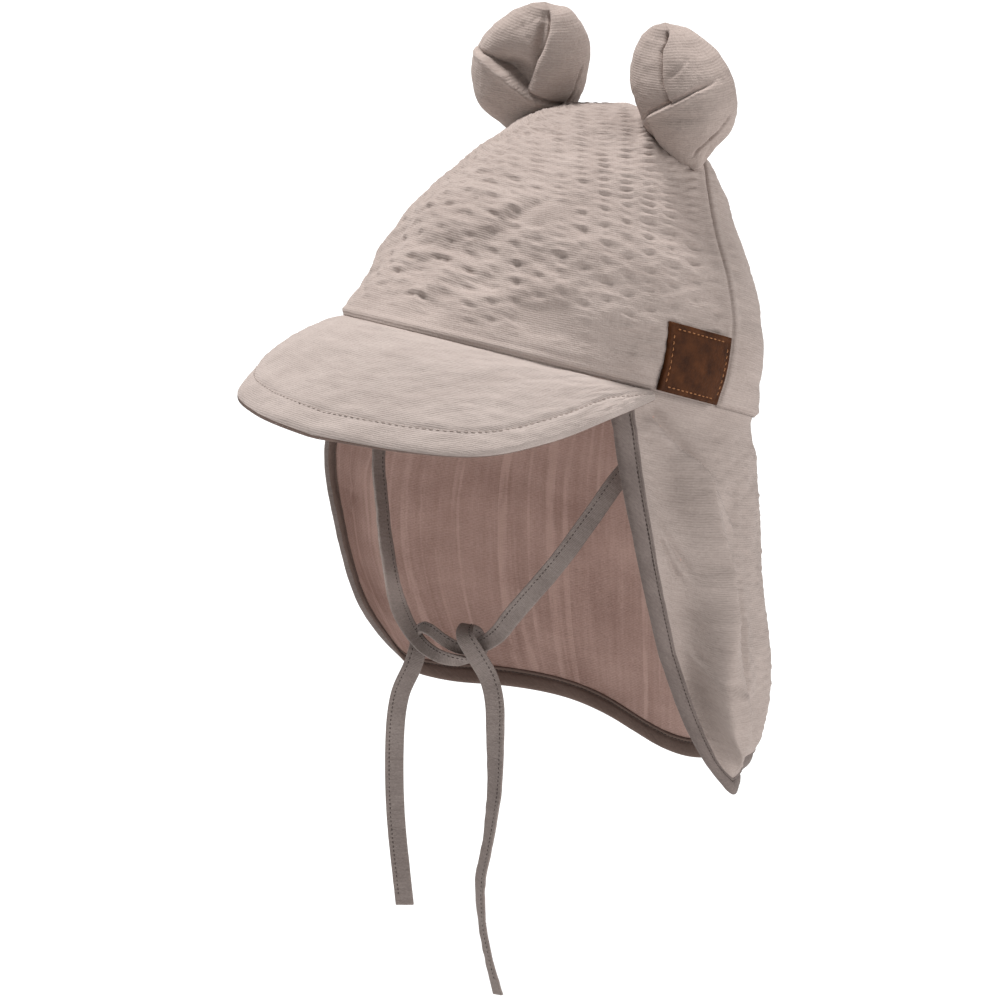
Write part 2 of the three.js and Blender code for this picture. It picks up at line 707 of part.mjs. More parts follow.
// Tie or tail along its chosen route, from where it is sewn on if it is, cut back to the knot
function strandGeometry(route, sewnShare, faces) {
  const points = route.map((place) => new THREE.Vector3(...place));
  const turns = [...faces];
  if (sewnShare !== null) {
    points.unshift(...tieStart(sewnShare));
    turns.unshift(flapOutward(flapSurface, sewnShare * flapRimWidth, tieSewnBelow));
  }
  return cutAway(tieGeometry(points, turns, 24), knotGeometry(clearance));
}

function cloth(colour, roughness) {
  return new THREE.MeshStandardMaterial({ color: colour, roughness, metalness: 0 });
}

function piece(name, geometry, material) {
  geometry.computeVertexNormals();
  const mesh = new THREE.Mesh(geometry, material);
  mesh.name = name;
  return mesh;
}

const greige = 0xc0b1a4;
const mauve = 0x9c8377;
const taupe = 0x8d8279;
const brown = 0x6e4528;

const outerFace = clearance / 2 + outerCloth;
const liningFace = clearance / 2 + liningCloth;

const tilted = new THREE.Group();
tilted.rotation.x = -capTilt;
tilted.add(
  piece('crown_front', crownPanel(0, -180, 34, 15), cloth(greige, 0.9)),
  piece('crown_back', crownPanel(0, 180, 26, 14), cloth(greige, 0.9)),
  piece('peak', peakGeometry(), cloth(greige, 0.85)),
  piece('ear_left', earGeometry(1), cloth(greige, 0.9)),
  piece('ear_right', earGeometry(-1), cloth(greige, 0.9)),
  piece('leather_label', labelGeometry(), cloth(brown, 0.55)),
);

// Ways that the ties' flat sides face along their routes, and where along the flap each is sewn on
const outward = new THREE.Vector3(-0.9, -0.4, 0.1);
const forward = new THREE.Vector3(0.25, -0.95, 0.1);
const sideways = new THREE.Vector3(0.75, -0.6, 0.25);
const nearSewnShare = 0.09;
const farSewnShare = 0.91;

const cap = new THREE.Group();
cap.add(
  tilted,
  piece('neck_flap', flapPanel(clearance / 2, outerFace), cloth(greige, 0.9)),
  piece('flap_lining', flapPanel(-liningFace, -clearance / 2), cloth(mauve, 0.9)),
  piece('flap_binding', bindingGeometry(), cloth(taupe, 0.85)),
  piece('tie_left', strandGeometry(nearTieRoute, nearSewnShare, [sideways, forward]), cloth(taupe, 0.85)),
  piece('tie_right', strandGeometry(farTieRoute, farSewnShare, [outward, forward]), cloth(taupe, 0.85)),
  piece('tail_left', strandGeometry(nearTailRoute, null, [forward, forward]), cloth(taupe, 0.85)),
  piece('tail_right', strandGeometry(farTailRoute, null, [forward, forward]), cloth(taupe, 0.85)),
  piece('tie_knot', knotGeometry(0), cloth(taupe, 0.85)),
);

export default cap;
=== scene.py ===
# Child's sun cap with knotted bear ears: cloth, leather, stitching, light and camera.
# Sizes are in millimetres, as in the part; meshes are scaled to metres as they are made.
import math

import bmesh
import bpy
import numpy as np
from mathutils import Matrix, Vector


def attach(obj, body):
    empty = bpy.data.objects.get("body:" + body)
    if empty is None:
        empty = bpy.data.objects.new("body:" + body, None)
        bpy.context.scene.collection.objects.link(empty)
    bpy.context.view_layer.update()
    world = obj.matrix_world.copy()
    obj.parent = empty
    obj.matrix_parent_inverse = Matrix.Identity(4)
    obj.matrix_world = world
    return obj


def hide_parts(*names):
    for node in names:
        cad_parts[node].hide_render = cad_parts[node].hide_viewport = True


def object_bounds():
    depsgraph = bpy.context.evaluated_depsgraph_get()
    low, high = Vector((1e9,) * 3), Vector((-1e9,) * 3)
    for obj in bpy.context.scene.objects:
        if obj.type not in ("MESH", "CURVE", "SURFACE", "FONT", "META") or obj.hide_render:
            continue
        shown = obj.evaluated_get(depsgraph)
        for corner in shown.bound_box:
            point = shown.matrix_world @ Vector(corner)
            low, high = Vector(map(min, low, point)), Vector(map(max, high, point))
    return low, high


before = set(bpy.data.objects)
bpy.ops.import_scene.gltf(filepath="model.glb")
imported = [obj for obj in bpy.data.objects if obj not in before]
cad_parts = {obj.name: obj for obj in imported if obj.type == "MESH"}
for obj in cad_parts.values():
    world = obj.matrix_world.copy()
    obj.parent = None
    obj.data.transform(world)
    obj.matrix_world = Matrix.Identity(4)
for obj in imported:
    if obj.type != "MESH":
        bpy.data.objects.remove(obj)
cad_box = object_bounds()
MM = 0.001

# Driving sizes of the cap
CAP_TILT = math.radians(22)
SEAM_BEHIND_ORIGIN = 12
RIM_HALF_WIDTH = 72.6
RIM_FRONT = 106
RIM_BACK = 82
CROWN_HEIGHT = 104
CROWN_WALL = 1.6
CROWN_FOLD_DEPTH = 1.6
CROWN_RELIEF_DEPTH = 1.25
CROWN_HEART = np.array([0, SEAM_BEHIND_ORIGIN, CROWN_HEIGHT * 0.3])
CLEARANCE = 0.3

PEAK_HALF_ANGLE = 70
PEAK_REACH = 32
PEAK_DROP = 44
PEAK_THICKNESS = 2.4
PEAK_BELLY = 2.6
PEAK_UNDER_EDGE = 1.0
PEAK_STITCH_IN = 9.5

FLAP_HALF_ANGLE = 120
FLAP_DROP = 155
FLAP_FLARE = 30
FLAP_SWING = 39
FLAP_TUCK = 6
FLAP_LEAD = 3
FLAP_RIM_WIDTH = 332
FLAP_HEM_WIDTH = 262
FLAP_FOLD_DEPTH = 4
FLAP_RELIEF_DEPTH = 0.8
NEAR_CORNER = 20
FAR_CORNER = 34
OUTER_CLOTH = 1.2
LINING_CLOTH = 1.0
BINDING_WIDTH = 8.5
BINDING_THICKNESS = 3.2
LAYER_INSET = BINDING_WIDTH - 1.5
FLAP_INSET = CROWN_WALL + CLEARANCE + BINDING_THICKNESS / 2

EAR_SPREAD = 38
EAR_HEIGHT = 55
EAR_WIDTH = 47
EAR_DEPTH = 29
EAR_TURN = math.radians(9)
EAR_SINK = 3
EAR_BEHIND_SEAM = -6
EAR_FOOT_UP = 0.84
EAR_AXIS = (-0.07, -0.42, 0.83)
EAR_RADIUS = 20

LABEL_WIDTH = 32
LABEL_HEIGHT = 25
LABEL_THICKNESS = 1.4
LABEL_FROM_SEAM = 3
LABEL_ABOVE_RIM = 0.6
LABEL_STITCH_IN = 2.0

TIE_WIDTH = 7.2
TIE_THICKNESS = 1.5
TIE_SEAT = 0.8
TIE_SEWN_ABOVE = 3
TIE_SEWN_BELOW = 7
TIE_STITCH_ASIDE = 1.9
NEAR_SEWN_SHARE = 0.09
FAR_SEWN_SHARE = 0.91

# Crown sections from the rim to the top: height, half width, reach in front and behind, as shares
CROWN_ROWS = {
    "up": [0, 0.12, 0.3, 0.45, 0.6, 0.74, 0.86, 0.95, 1],
    "width": [1, 1.012, 0.975, 0.875, 0.735, 0.625, 0.53, 0.335, 0],
    "front": [1, 0.915, 0.815, 0.76, 0.665, 0.52, 0.375, 0.21, 0],
    "back": [1, 0.9, 0.82, 0.775, 0.685, 0.49, 0.29, 0.12, 0],
}

# Soft folds in the crown: angle round the head, share of height, turn in degrees, length, width, rise
CROWN_FOLDS = [
    (-100, 0.3, 28, 0.33, 0.058, 1), (-78, 0.42, 40, 0.29, 0.058, -0.94),
    (-66, 0.5, 42, 0.25, 0.048, 0.81), (-112, 0.46, 22, 0.23, 0.048, 0.81),
    (-74, 0.17, 10, 0.35, 0.048, 0.88), (-40, 0.2, -6, 0.29, 0.048, 0.75),
    (-128, 0.24, -14, 0.25, 0.048, 0.81), (52, 0.4, 80, 0.29, 0.067, 0.81),
    (96, 0.3, 12, 0.35, 0.067, 0.88), (134, 0.44, 100, 0.29, 0.067, 0.75),
]

PEAK_ROWS = {
    "along": [0, 0.2, 0.4, 0.6, 0.8, 1],
    "reach": [0.94, 0.97, 1, 0.79, 0.48, 0.1],
    "flare": [0, 15, 12, 5, 3, 0],
    "drop": [1, 0.94, 0.83, 0.6, 0.29, 0.05],
}

# Where the flap's cloth has moved to at each share of its drop, as shares of its flare and swing
FLAP_ROWS = {
    "down": [0, 0.08, 0.31, 0.6, 0.8, 1],
    "nearOut": [0, 0.17, 0.6, 0.73, 0.87, 1.03],
    "farOut": [0, 0.24, 0.74, 0.86, 0.88, 0.78],
    "edgeBack": [0, -0.09, -0.2, 0.08, 0.4, 0.9],
    "sideOut": [0, 0.06, 0.38, 0.53, 0.48, 0.17],
    "sideBack": [0, -0.04, -0.34, -0.26, -0.1, 0.08],
    "quarterOut": [0, 0.08, 0.25, 0.27, 0.2, 0],
    "quarterBack": [0, -0.01, -0.03, 0, 0.03, 0.05],
    "rearBack": [0, 0.02, 0.06, 0.1, 0.1, 0.06],
}
HEM_SHARES = [1.08, 0.955, 0.925, 0.985, 0.91, 0.935, 1]

# Hanging folds of the flap: place across, lean, start and end down, width, rise, as shares
FLAP_FOLDS = [
    (0.085, 0.02, 0.2, 0.98, 0.027, 1), (0.048, -0.004, 0.28, 0.9, 0.021, -0.55),
    (0.06, 0.11, 0.02, 0.34, 0.018, 0.65), (0.25, 0.01, 0.3, 1.1, 0.042, 0.65),
    (0.42, -0.01, 0.35, 1.1, 0.045, 0.75), (0.6, 0.01, 0.35, 1.1, 0.045, 0.7),
    (0.76, 0, 0.3, 1.1, 0.042, 0.6), (0.905, 0.01, 0.2, 0.86, 0.033, 0.6),
]

EAR_ROWS = {
    "up": [0, 0.12, 0.28, 0.45, 0.62, 0.78, 0.9, 0.97, 1],
    "width": [0.22, 0.5, 0.86, 1, 0.98, 0.8, 0.52, 0.26, 0],
    "depth": [0.2, 0.42, 0.84, 1, 0.98, 0.78, 0.5, 0.26, 0],
    "lean": [0, 0.03, 0.06, 0.05, 0, -0.09, -0.17, -0.21, -0.22],
}

# Smaller wrinkles of the crown, each a valley with a ridge above it: angle and height at both ends,
# width and depth in mm
CROWN_WRINKLES = [
    (-62, 0.545, -79, 0.27, 2.8, 1.9), (-72, 0.225, -86, 0.05, 2.8, 1.7),
    (-103, 0.3, -84, 0.312, 2.4, 1.3), (-95, 0.225, -101, 0.19, 2.4, 0.9),
    (-60, 0.145, -32, 0.15, 3.6, 1.3), (-19, 0.39, -6, 0.375, 2.4, 0.8),
    (-55, 0.965, -45, 0.84, 2, 1), (-118, 0.3, -132, 0.18, 3, 1.2),
    (-140, 0.42, -158, 0.3, 3, 1.2), (-30, 0.56, -14, 0.5, 2.6, 0.7),
    (40, 0.3, 66, 0.22, 3.2, 1.2), (78, 0.42, 108, 0.36, 3.2, 1.4),
    (120, 0.25, 150, 0.34, 3.2, 1.2), (60, 0.62, 84, 0.54, 2.8, 1),
]

# Ridges down the flap: shares down and across, height and width in mm
FLAP_RIDGES = [
    ([0.13, 0.17, 0.36, 0.5, 0.68, 0.8, 0.94], [0.083, 0.093, 0.117, 0.1, 0.083, 0.075, 0.068], 7.5, 7),
    ([0.4, 0.55, 0.75, 0.92], [0.19, 0.18, 0.15, 0.135], 1.2, 4),
    ([0.35, 0.6, 0.9], [0.33, 0.34, 0.32], 1.2, 5), ([0.3, 0.6, 0.9], [0.7, 0.69, 0.71], 1.2, 5),
]

# Creases of the flap: mm across and down at both ends, width and depth in mm
FLAP_CREASES = [
    (17.5, 8.5, 36.5, 25.5, 2.6, 2.6), (15, 45, 24, 60, 1.9, 1.3), (13, 53, 20, 66, 1.7, 1),
    (42, 30, 60, 38, 2.2, 0.9), (22, 96, 34, 108, 1.8, 0.8), (290, 40, 306, 66, 2, 0.9),
]

# Uneven cloth: rise, length across, length down in mm and the seed of its noise
CRUMPLE = [(0.3, 4.6, 2.4, 19), (0.19, 1.9, 1.2, 23)]
CROWN_SLACK = [(0.9, 24, 17, 29), (0.5, 11, 8, 33)]
PEAK_SLACK = [(0.26, 7, 3, 31), (0.12, 2.6, 1.4, 37), (0.5, 26, 14, 39)]
FLAP_SLACK = [(0.9, 19, 24, 35), (0.55, 10, 8, 36)]
LINING_RIBS = [(0.16, 4.5, 60, 41), (0.1, 4, 2, 45), (0.4, 15, 11, 43)]

# Chin ties: mm beside, in front of and below the origin, the way the flat side faces, width as a share
NEAR_TIE_ROUTE = [
    (60, -29, -23, 0.8, -0.5, 0.3, 1), (52, -38, -40, 0.76, -0.55, 0.33, 1),
    (42, -45, -58, 0.7, -0.62, 0.34, 1), (27, -51, -79, 0.62, -0.7, 0.34, 1),
    (19.7, -52.6, -89.1, 0.55, -0.75, 0.36, 0.95), (11.5, -54, -95.3, 0.3, -0.8, 0.5, 0.8),
    (5.2, -57, -96.7, 0.2, -0.8, 0.55, 0.66), (0, -60.1, -93.9, 0.1, -0.75, 0.65, 0.62),
    (-6.6, -60.5, -91.3, 0.05, -0.7, 0.7, 0.62), (-12.3, -58.9, -92.5, -0.1, -0.65, 0.75, 0.72),
    (-15.2, -57.3, -97.8, 0.35, -0.9, 0.15, 0.85), (-14, -59.4, -102, 0.45, -0.88, 0.05, 0.98),
    (-14.6, -61.9, -108, 0.5, -0.86, 0, 1), (-20, -63, -121, 0.55, -0.83, 0, 1),
    (-22.5, -63.2, -140, 0.6, -0.8, 0, 1), (-22, -63.5, -170, 0.52, -0.85, 0, 1),
    (-18.2, -63, -207, 0.48, -0.87, 0, 1),
]
FAR_TIE_ROUTE = [
    (-65, -22, -36, 0.98, 0.02, 0.1, 1), (-57.5, -30, -62, 0.98, 0.02, 0.12, 1),
    (-45, -39.6, -82.6, 0.92, -0.16, 0.28, 1), (-29.1, -51.9, -91.2, 0.66, -0.56, 0.5, 0.95),
    (-12.6, -61, -96.4, 0.4, -0.72, 0.56, 0.8), (-0.2, -64.2, -98.6, 0.2, -0.86, 0.46, 0.7),
    (7.4, -60.4, -99.9, 0.3, -0.9, -0.2, 0.66), (10.2, -51.2, -100, 0.45, 0.25, -0.85, 0.66),
    (6.6, -47.4, -94.8, -0.55, 0.75, -0.1, 0.66), (4.6, -51.5, -89.6, -0.1, 0.05, 1, 0.78),
    (8.9, -58.3, -90.6, 0.5, -0.78, 0.38, 0.95), (14.3, -58.2, -97.2, 0.58, -0.8, 0.15, 1),
    (18.8, -56.4, -105.4, 0.62, -0.78, 0.08, 1), (21.8, -56.6, -114.5, 0.62, -0.78, 0, 1),
    (22.6, -57, -127, 0.35, -0.93, 0, 1), (21.6, -56.2, -150, -0.09, -1, 0, 1),
    (18.4, -56.4, -173, -0.42, -0.9, 0, 1), (15.6, -57.4, -190, -0.38, -0.92, 0, 1),
    (17.2, -58, -207, -0.52, -0.85, 0, 1), (21, -58.2, -222, -0.46, -0.88, 0, 1),
    (25, -58, -233.6, -0.36, -0.93, 0, 1),
]

# Front of each ear: upper edge of the wrapped band and line of the pleat, as degrees round the ear from its
# outer side and share of its height, then swellings and dents with their spread and rise in mm
NEAR_EAR = {
    "band": [(8, 0.66), (20, 0.637), (41, 0.604), (65, 0.539), (97, 0.441), (118, 0.36)],
    "band_rise": [(0, 0), (12, 0.3), (34, 1.6), (60, 2.2), (98, 2.4), (106, 0.4), (130, 0)],
    "pleat": [(0.4, 70), (0.521, 72), (0.659, 77), (0.85, 74), (0.97, 50)],
    "pleat_step": -1.8, "pleat_depth": 3,
    "dents": [(330, 0.78, 30, 0.16, 1.6), (100, 0.62, 26, 0.16, 1), (44, 0.8, 24, 0.14, 0.8),
              (25, 0.16, 40, 0.14, -1.8), (150, 0.4, 26, 0.12, -1.2), (52, 0.44, 30, 0.03, -0.5)],
    "creases": [(2, 0.393, 27, 0.266, 0.9), (27, 0.266, 46, 0.165, 0.9), (62, 0.7, 40, 0.78, 0.5)],
}
FAR_EAR = {
    "band": [(30, 0.6), (56, 0.599), (85, 0.529), (110, 0.419), (129, 0.368), (146, 0.326), (165, 0.27)],
    "band_rise": [(10, 0.4), (40, 1.6), (60, 2.6), (110, 2.6), (140, 2.2), (160, 0.6), (180, 0)],
    "pleat": [(0.38, 104), (0.439, 107), (0.662, 114), (0.84, 124), (0.97, 130)],
    "pleat_step": 2.2, "pleat_depth": 1.2,
    "dents": [(84, 0.585, 22, 0.075, -6.5), (100, 0.5, 12, 0.06, -3), (112, 0.78, 7, 0.12, -2.6),
              (195, 0.77, 34, 0.18, 2), (46, 0.25, 34, 0.14, 1.8), (60, 0.8, 34, 0.12, 1),
              (140, 0.62, 20, 0.16, 0.9), (148, 0.42, 14, 0.06, 1)],
    "creases": [(170, 0.574, 157, 0.373, 0.8), (80, 0.86, 96, 0.78, 0.4)],
}


# Curves through tables
def cubic(a, b, c, d, t):
    bend = 2 * a - 5 * b + 4 * c - d
    turn = -a + 3 * b - 3 * c + d
    return 0.5 * (2 * b + (c - a) * t + bend * t * t + turn * t * t * t)


def through(values, place):
    """Smooth curve through values along their first axis, read at fractional places."""
    values = np.asarray(values, float)
    place = np.asarray(place, float)
    last = len(values) - 1
    padded = np.concatenate([[2 * values[0] - values[1]], values, [2 * values[-1] - values[-2]]])
    at = np.clip(place, 0, last)
    i = np.minimum(np.floor(at).astype(int), last - 1)
    if values.ndim == 1:
        corners = [padded[i + k] for k in range(4)]
    else:
        padded = np.broadcast_to(padded, (last + 3,) + place.shape)
        corners = [np.take_along_axis(padded, (i + k)[None], 0)[0] for k in range(4)]
    return cubic(*corners, at - i)


def row_place(rows, key, value):
    return np.interp(value, rows[key], np.arange(len(rows[key])))


def column(rows, key, place):
    return through(rows[key], place)


def smooth(low, high, value):
    share = np.clip((value - low) / (high - low), 0, 1)
    return share * share * (3 - 2 * share)


def bell(distance):
    return np.exp(-distance * distance)


def shallow(height, limit):
    """Height whose valleys level out before they reach the limit, in mm."""
    knee = 0.5 * limit
    deep = np.maximum(0, -knee - height)
    return np.where(height < -knee, -knee - (limit - knee) * np.tanh(deep / (limit - knee)), height)


def points(*parts):
    return np.stack(np.broadcast_arrays(*parts), axis=-1)


def unit(vectors):
    length = np.linalg.norm(vectors, axis=-1, keepdims=True)
    return vectors / np.maximum(length, 1e-9)


def upright(point):
    """Turns points of the tilted cap into the upright frame."""
    x, y, z = point[..., 0], point[..., 1], point[..., 2]
    cos, sin = math.cos(CAP_TILT), math.sin(CAP_TILT)
    return points(x, y * cos + z * sin, z * cos - y * sin)


def soft_noise(x, y, seed):
    """Smooth random numbers from -1 to 1 over a plane, one per unit of length."""
    table = np.random.default_rng(seed).uniform(-1, 1, (97, 89))
    i, j = np.floor(x).astype(int), np.floor(y).astype(int)
    u, v = x - i, y - j
    u, v = u * u * (3 - 2 * u), v * v * (3 - 2 * v)
    rows, columns = table.shape
    corner = [table[(i + a) % rows, (j + b) % columns] for a, b in ((0, 0), (1, 0), (0, 1), (1, 1))]
    near = corner[0] * (1 - u) + corner[1] * u
    far = corner[2] * (1 - u) + corner[3] * u
    return near * (1 - v) + far * v


def uneven(across, down, layers):
    """Sum of layers of noise, in mm."""
    return sum(rise * soft_noise(across / wide, down / long, seed) for rise, wide, long, seed in layers)


def from_line(x, y, run_x, run_y):
    """Distances past the nearer end of a line that starts at the origin, and beside it."""
    span = math.hypot(run_x, run_y)
    along = (x * run_x + y * run_y) / span
    beside = (y * run_x - x * run_y) / span
    return np.maximum(0, np.maximum(-along, along - span)), beside


def valley(aside, width, ridge_at):
    """Section of a valley with a ridge beside it, a number of widths away."""
    return 0.8 * bell((aside - ridge_at * width) / (1.1 * width)) - bell(aside / width)


# Puckered cloth: columns of small level dimples with flat stripes between them
PUCKER_COLUMN = 8.3
PUCKER_ROW = 3.5
PUCKER_RISE = 0.64
DIMPLE_ROW = 7.2
DIMPLE_DEPTH = 1.15
DIMPLE_BROW = 0.65


def puckers(aside, down, loose):
    """Height of the puckers in mm; loose goes from 0, tidy rows, to 1, scattered dimples."""
    wander = 0.8 * soft_noise(aside / 21, down / 17, 3)
    place = (aside + wander) / PUCKER_COLUMN
    stripe = np.floor(place)
    across = place - stripe - 0.5
    own = soft_noise(stripe * 7.3, down / 9, 5)
    shift = 2.1 * soft_noise(stripe * 3.7, stripe * 0 + 11, 7)
    tilt = 1.1 * soft_noise(stripe * 5.1, down / 6.5, 13)
    rows = (down + shift + tilt * across * 2 + 0.9 * own) / PUCKER_ROW
    window = bell(across / 0.29)
    ripple = np.cos(2 * np.pi * rows)
    tidy = PUCKER_RISE * window * (ripple * (0.75 + 0.45 * own) - 0.25 * np.cos(4 * np.pi * rows))
    dimple_rows = (down + shift * 0.5) / DIMPLE_ROW + 0.5 * (stripe % 2)
    nearest = dimple_rows - np.round(dimple_rows)
    size = 0.75 + 0.5 * soft_noise(stripe * 9.1, np.round(dimple_rows) * 4.3, 17)
    pit = bell(across / 0.25) * bell((nearest - 0.08 * across) / 0.18)
    brow = bell(across / 0.30) * bell((nearest + 0.26) / 0.15)
    scattered = size * (DIMPLE_BROW * brow - DIMPLE_DEPTH * pit)
    return tidy * (1 - 0.6 * loose) + scattered * loose + uneven(aside, down, CRUMPLE)


# Crown
def crown_section(up, inset=0.0):
    """Half width of the crown at a share of its height, and its reach in front and behind."""
    place = row_place(CROWN_ROWS, "up", up)
    sizes = {"width": RIM_HALF_WIDTH, "front": RIM_FRONT, "back": RIM_BACK}
    return [(size - inset) * column(CROWN_ROWS, key, place) for key, size in sizes.items()]


def crown_point(angle, up, inset=0.0):
    """Point of the crown, -90 degrees at the front and 90 at the back, in the tilted frame."""
    turn = np.radians(angle)
    half, front, back = crown_section(up, inset)
    reach = np.where((angle < 0) & (angle > -180), front, back)
    height = (CROWN_HEIGHT - inset) * up
    return points(half * np.cos(turn), SEAM_BEHIND_ORIGIN + reach * np.sin(turn), height)


def out_of_crown(form):
    """Moves points that would reach through the crown's wall out into its cloth."""
    half, front, back = crown_section(np.clip(form[..., 2] / CROWN_HEIGHT, 0, 0.999))
    aside, behind = form[..., 0], form[..., 1] - SEAM_BEHIND_ORIGIN
    share = np.hypot(aside / half, behind / np.where(behind < 0, front, back))
    growth = np.maximum(1, (1 - CROWN_WALL / 2 / half) / share)
    return points(aside * growth, SEAM_BEHIND_ORIGIN + behind * growth, form[..., 2])


def crown_fold_rise(angle, up):
    here = crown_point(angle, up)
    rise = 0
    for fold_angle, fold_up, fold_turn, length, width, height in CROWN_FOLDS:
        centre = crown_point(fold_angle, fold_up)
        turn = math.radians(fold_turn)
        radius = math.hypot(centre[0], centre[1] - SEAM_BEHIND_ORIGIN)
        across = np.radians(angle - fold_angle) * radius
        above = here[..., 2] - centre[2]
        along = (across * math.cos(turn) + above * math.sin(turn)) / CROWN_HEIGHT
        aside = (above * math.cos(turn) - across * math.sin(turn)) / CROWN_HEIGHT
        rise = rise + height * bell(2 * along / length) * bell(aside / width)
    seam_fade = smooth(0.05, 0.25, np.abs(np.sin(np.radians(angle))))
    return CROWN_FOLD_DEPTH * rise * seam_fade * smooth(0.02, 0.10, up) * (1 - smooth(0.80, 0.95, up))


# Peak
def peak_point(across, out):
    along = np.abs(across)
    angle = -90 + across * PEAK_HALF_ANGLE
    turn = np.radians(angle)
    start = crown_point(angle, 0 * across, CROWN_WALL)
    place = row_place(PEAK_ROWS, "along", along)
    flare = np.radians(column(PEAK_ROWS, "flare", place)) * np.sign(across)
    heading = np.arctan2(np.sin(turn) / RIM_FRONT, np.cos(turn) / RIM_HALF_WIDTH) + flare
    reach = PEAK_REACH * column(PEAK_ROWS, "reach", place) + CROWN_WALL
    drop = PEAK_DROP * column(PEAK_ROWS, "drop", place)
    belly_rise = PEAK_BELLY * 4 * out * (1 - out) * (reach / PEAK_REACH)
    forward = reach * out + 0.6 * belly_rise
    sink = drop * np.maximum(out, 0) ** 1.15
    return points(
        start[..., 0] + np.cos(heading) * forward,
        start[..., 1] + np.sin(heading) * forward,
        belly_rise - CLEARANCE - sink,
    )


# Neck flap: across in mm from the front edge on the label's side, down in mm from the rim
def flap_length(across):
    return FLAP_DROP * through(HEM_SHARES, across / FLAP_RIM_WIDTH * (len(HEM_SHARES) - 1))


def flap_down_share(across, down):
    return np.clip((down - FLAP_LEAD) / (flap_length(across) - FLAP_LEAD), 0, 1)


def flap_share(across, down_share):
    narrowing = smooth(0.55, 1, down_share)
    width = FLAP_RIM_WIDTH + (FLAP_HEM_WIDTH - FLAP_RIM_WIDTH) * narrowing
    reach_in = 0.3 * FLAP_RIM_WIDTH
    from_far = FLAP_RIM_WIDTH - across
    near_fade = np.maximum(0, 1 - across / reach_in) ** 2
    far_fade = np.maximum(0, 1 - from_far / reach_in) ** 2
    extra = 1 / width - 1 / FLAP_RIM_WIDTH
    return across / FLAP_RIM_WIDTH + extra * (across * near_fade - from_far * far_fade)


def flap_fold_rise(share, down_share):
    fade = 0.22
    rise = 0
    for across, lean, top, bottom, width, height in FLAP_FOLDS:
        aside = (share - across - lean * down_share) / width
        start = smooth(top, top + fade, down_share)
        end = 1 - smooth(bottom - fade, bottom, down_share)
        rise = rise + FLAP_FOLD_DEPTH * height * bell(aside) * start * end
    return rise


def flap_base(across, down):
    across, down = np.broadcast_arrays(np.asarray(across, float), np.asarray(down, float))
    down_share = flap_down_share(across, down)
    share = flap_share(across, down_share)
    angle = 90 - FLAP_HALF_ANGLE + share * 2 * FLAP_HALF_ANGLE
    up = np.maximum(0, -down) / (CROWN_HEIGHT - FLAP_INSET)
    point = crown_point(angle, up, FLAP_INSET)
    point[..., 2] -= np.clip(down, 0, FLAP_LEAD)
    point = upright(point)
    place = row_place(FLAP_ROWS, "down", down_share)
    side = {key: column(FLAP_ROWS, key, place) for key in FLAP_ROWS if key != "down"}
    middle = 0 * down
    out = [side["nearOut"], side["sideOut"], side["quarterOut"], middle,
           -side["quarterOut"], -side["sideOut"], -side["farOut"]]
    back = [side["edgeBack"], side["sideBack"], side["quarterBack"], side["rearBack"],
            side["quarterBack"], side["sideBack"], side["edgeBack"]]
    point[..., 0] += FLAP_FLARE * through(out, share * (len(out) - 1))
    point[..., 1] += FLAP_SWING * through(back, share * (len(back) - 1))
    point[..., 2] -= np.maximum(0, down - FLAP_LEAD)
    return point


def flap_outward(surface, across, down):
    step = 0.6
    along_across = surface(across + step, down) - surface(across - step, down)
    along_down = surface(across, down + step) - surface(across, down - step)
    return -unit(np.cross(along_across, along_down))


def flap_surface(across, down):
    rise = flap_fold_rise(across / FLAP_RIM_WIDTH, flap_down_share(across, down))
    return flap_base(across, down) + flap_outward(flap_base, across, down) * rise[..., None]


def hem_depth(across, inset):
    def rounding(distance, radius):
        short = np.maximum(0, radius - distance)
        return radius - np.sqrt(np.maximum(0, radius * radius - short * short))

    near = rounding(across - inset, NEAR_CORNER - inset)
    far = rounding(FLAP_RIM_WIDTH - across - inset, FAR_CORNER - inset)
    return flap_length(across) - inset - near - far


# Meshes
def linked(name, data):
    thing = bpy.data.objects.new(name, data)
    bpy.context.scene.collection.objects.link(thing)
    return thing


def new_object(name, vertices, faces, material, cloth):
    mesh = bpy.data.meshes.new(name)
    mesh.from_pydata((np.asarray(vertices) * MM).tolist(), [], faces)
    mesh.validate()
    layer = mesh.attributes.new("cloth", "FLOAT_VECTOR", "POINT")
    layer.data.foreach_set("vector", np.asarray(cloth, np.float32).ravel())
    mesh.polygons.foreach_set("use_smooth", np.ones(len(mesh.polygons), bool))
    mesh.materials.append(material)
    piece = linked(name, mesh)
    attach(piece, "root")
    return piece


def weld(piece):
    """Joins points that fall together and drops the faces that this flattens."""
    work = bmesh.new()
    work.from_mesh(piece.data)
    bmesh.ops.remove_doubles(work, verts=work.verts, dist=1e-6)
    bmesh.ops.recalc_face_normals(work, faces=work.faces)
    work.to_mesh(piece.data)
    work.free()


def grid_faces(columns, rows, start, flip):
    i, j = np.meshgrid(np.arange(columns - 1), np.arange(rows - 1), indexing="ij")
    a = start + i * rows + j
    quad = [a, a + rows, a + rows + 1, a + 1]
    if flip:
        quad.reverse()
    return np.stack(quad, axis=-1).reshape(-1, 4).tolist()


def grid_rim(columns, rows, start):
    around = [i * rows for i in range(columns)]
    around += [(columns - 1) * rows + j for j in range(1, rows)]
    around += [i * rows + rows - 1 for i in range(columns - 2, -1, -1)]
    around += list(range(rows - 2, 0, -1))
    return [start + index for index in around]


def cloth_place(across, down):
    """Places on the cloth in metres, one a point, from distances over it in mm."""
    return points(across, down, 0.0).reshape(-1, 3) * MM


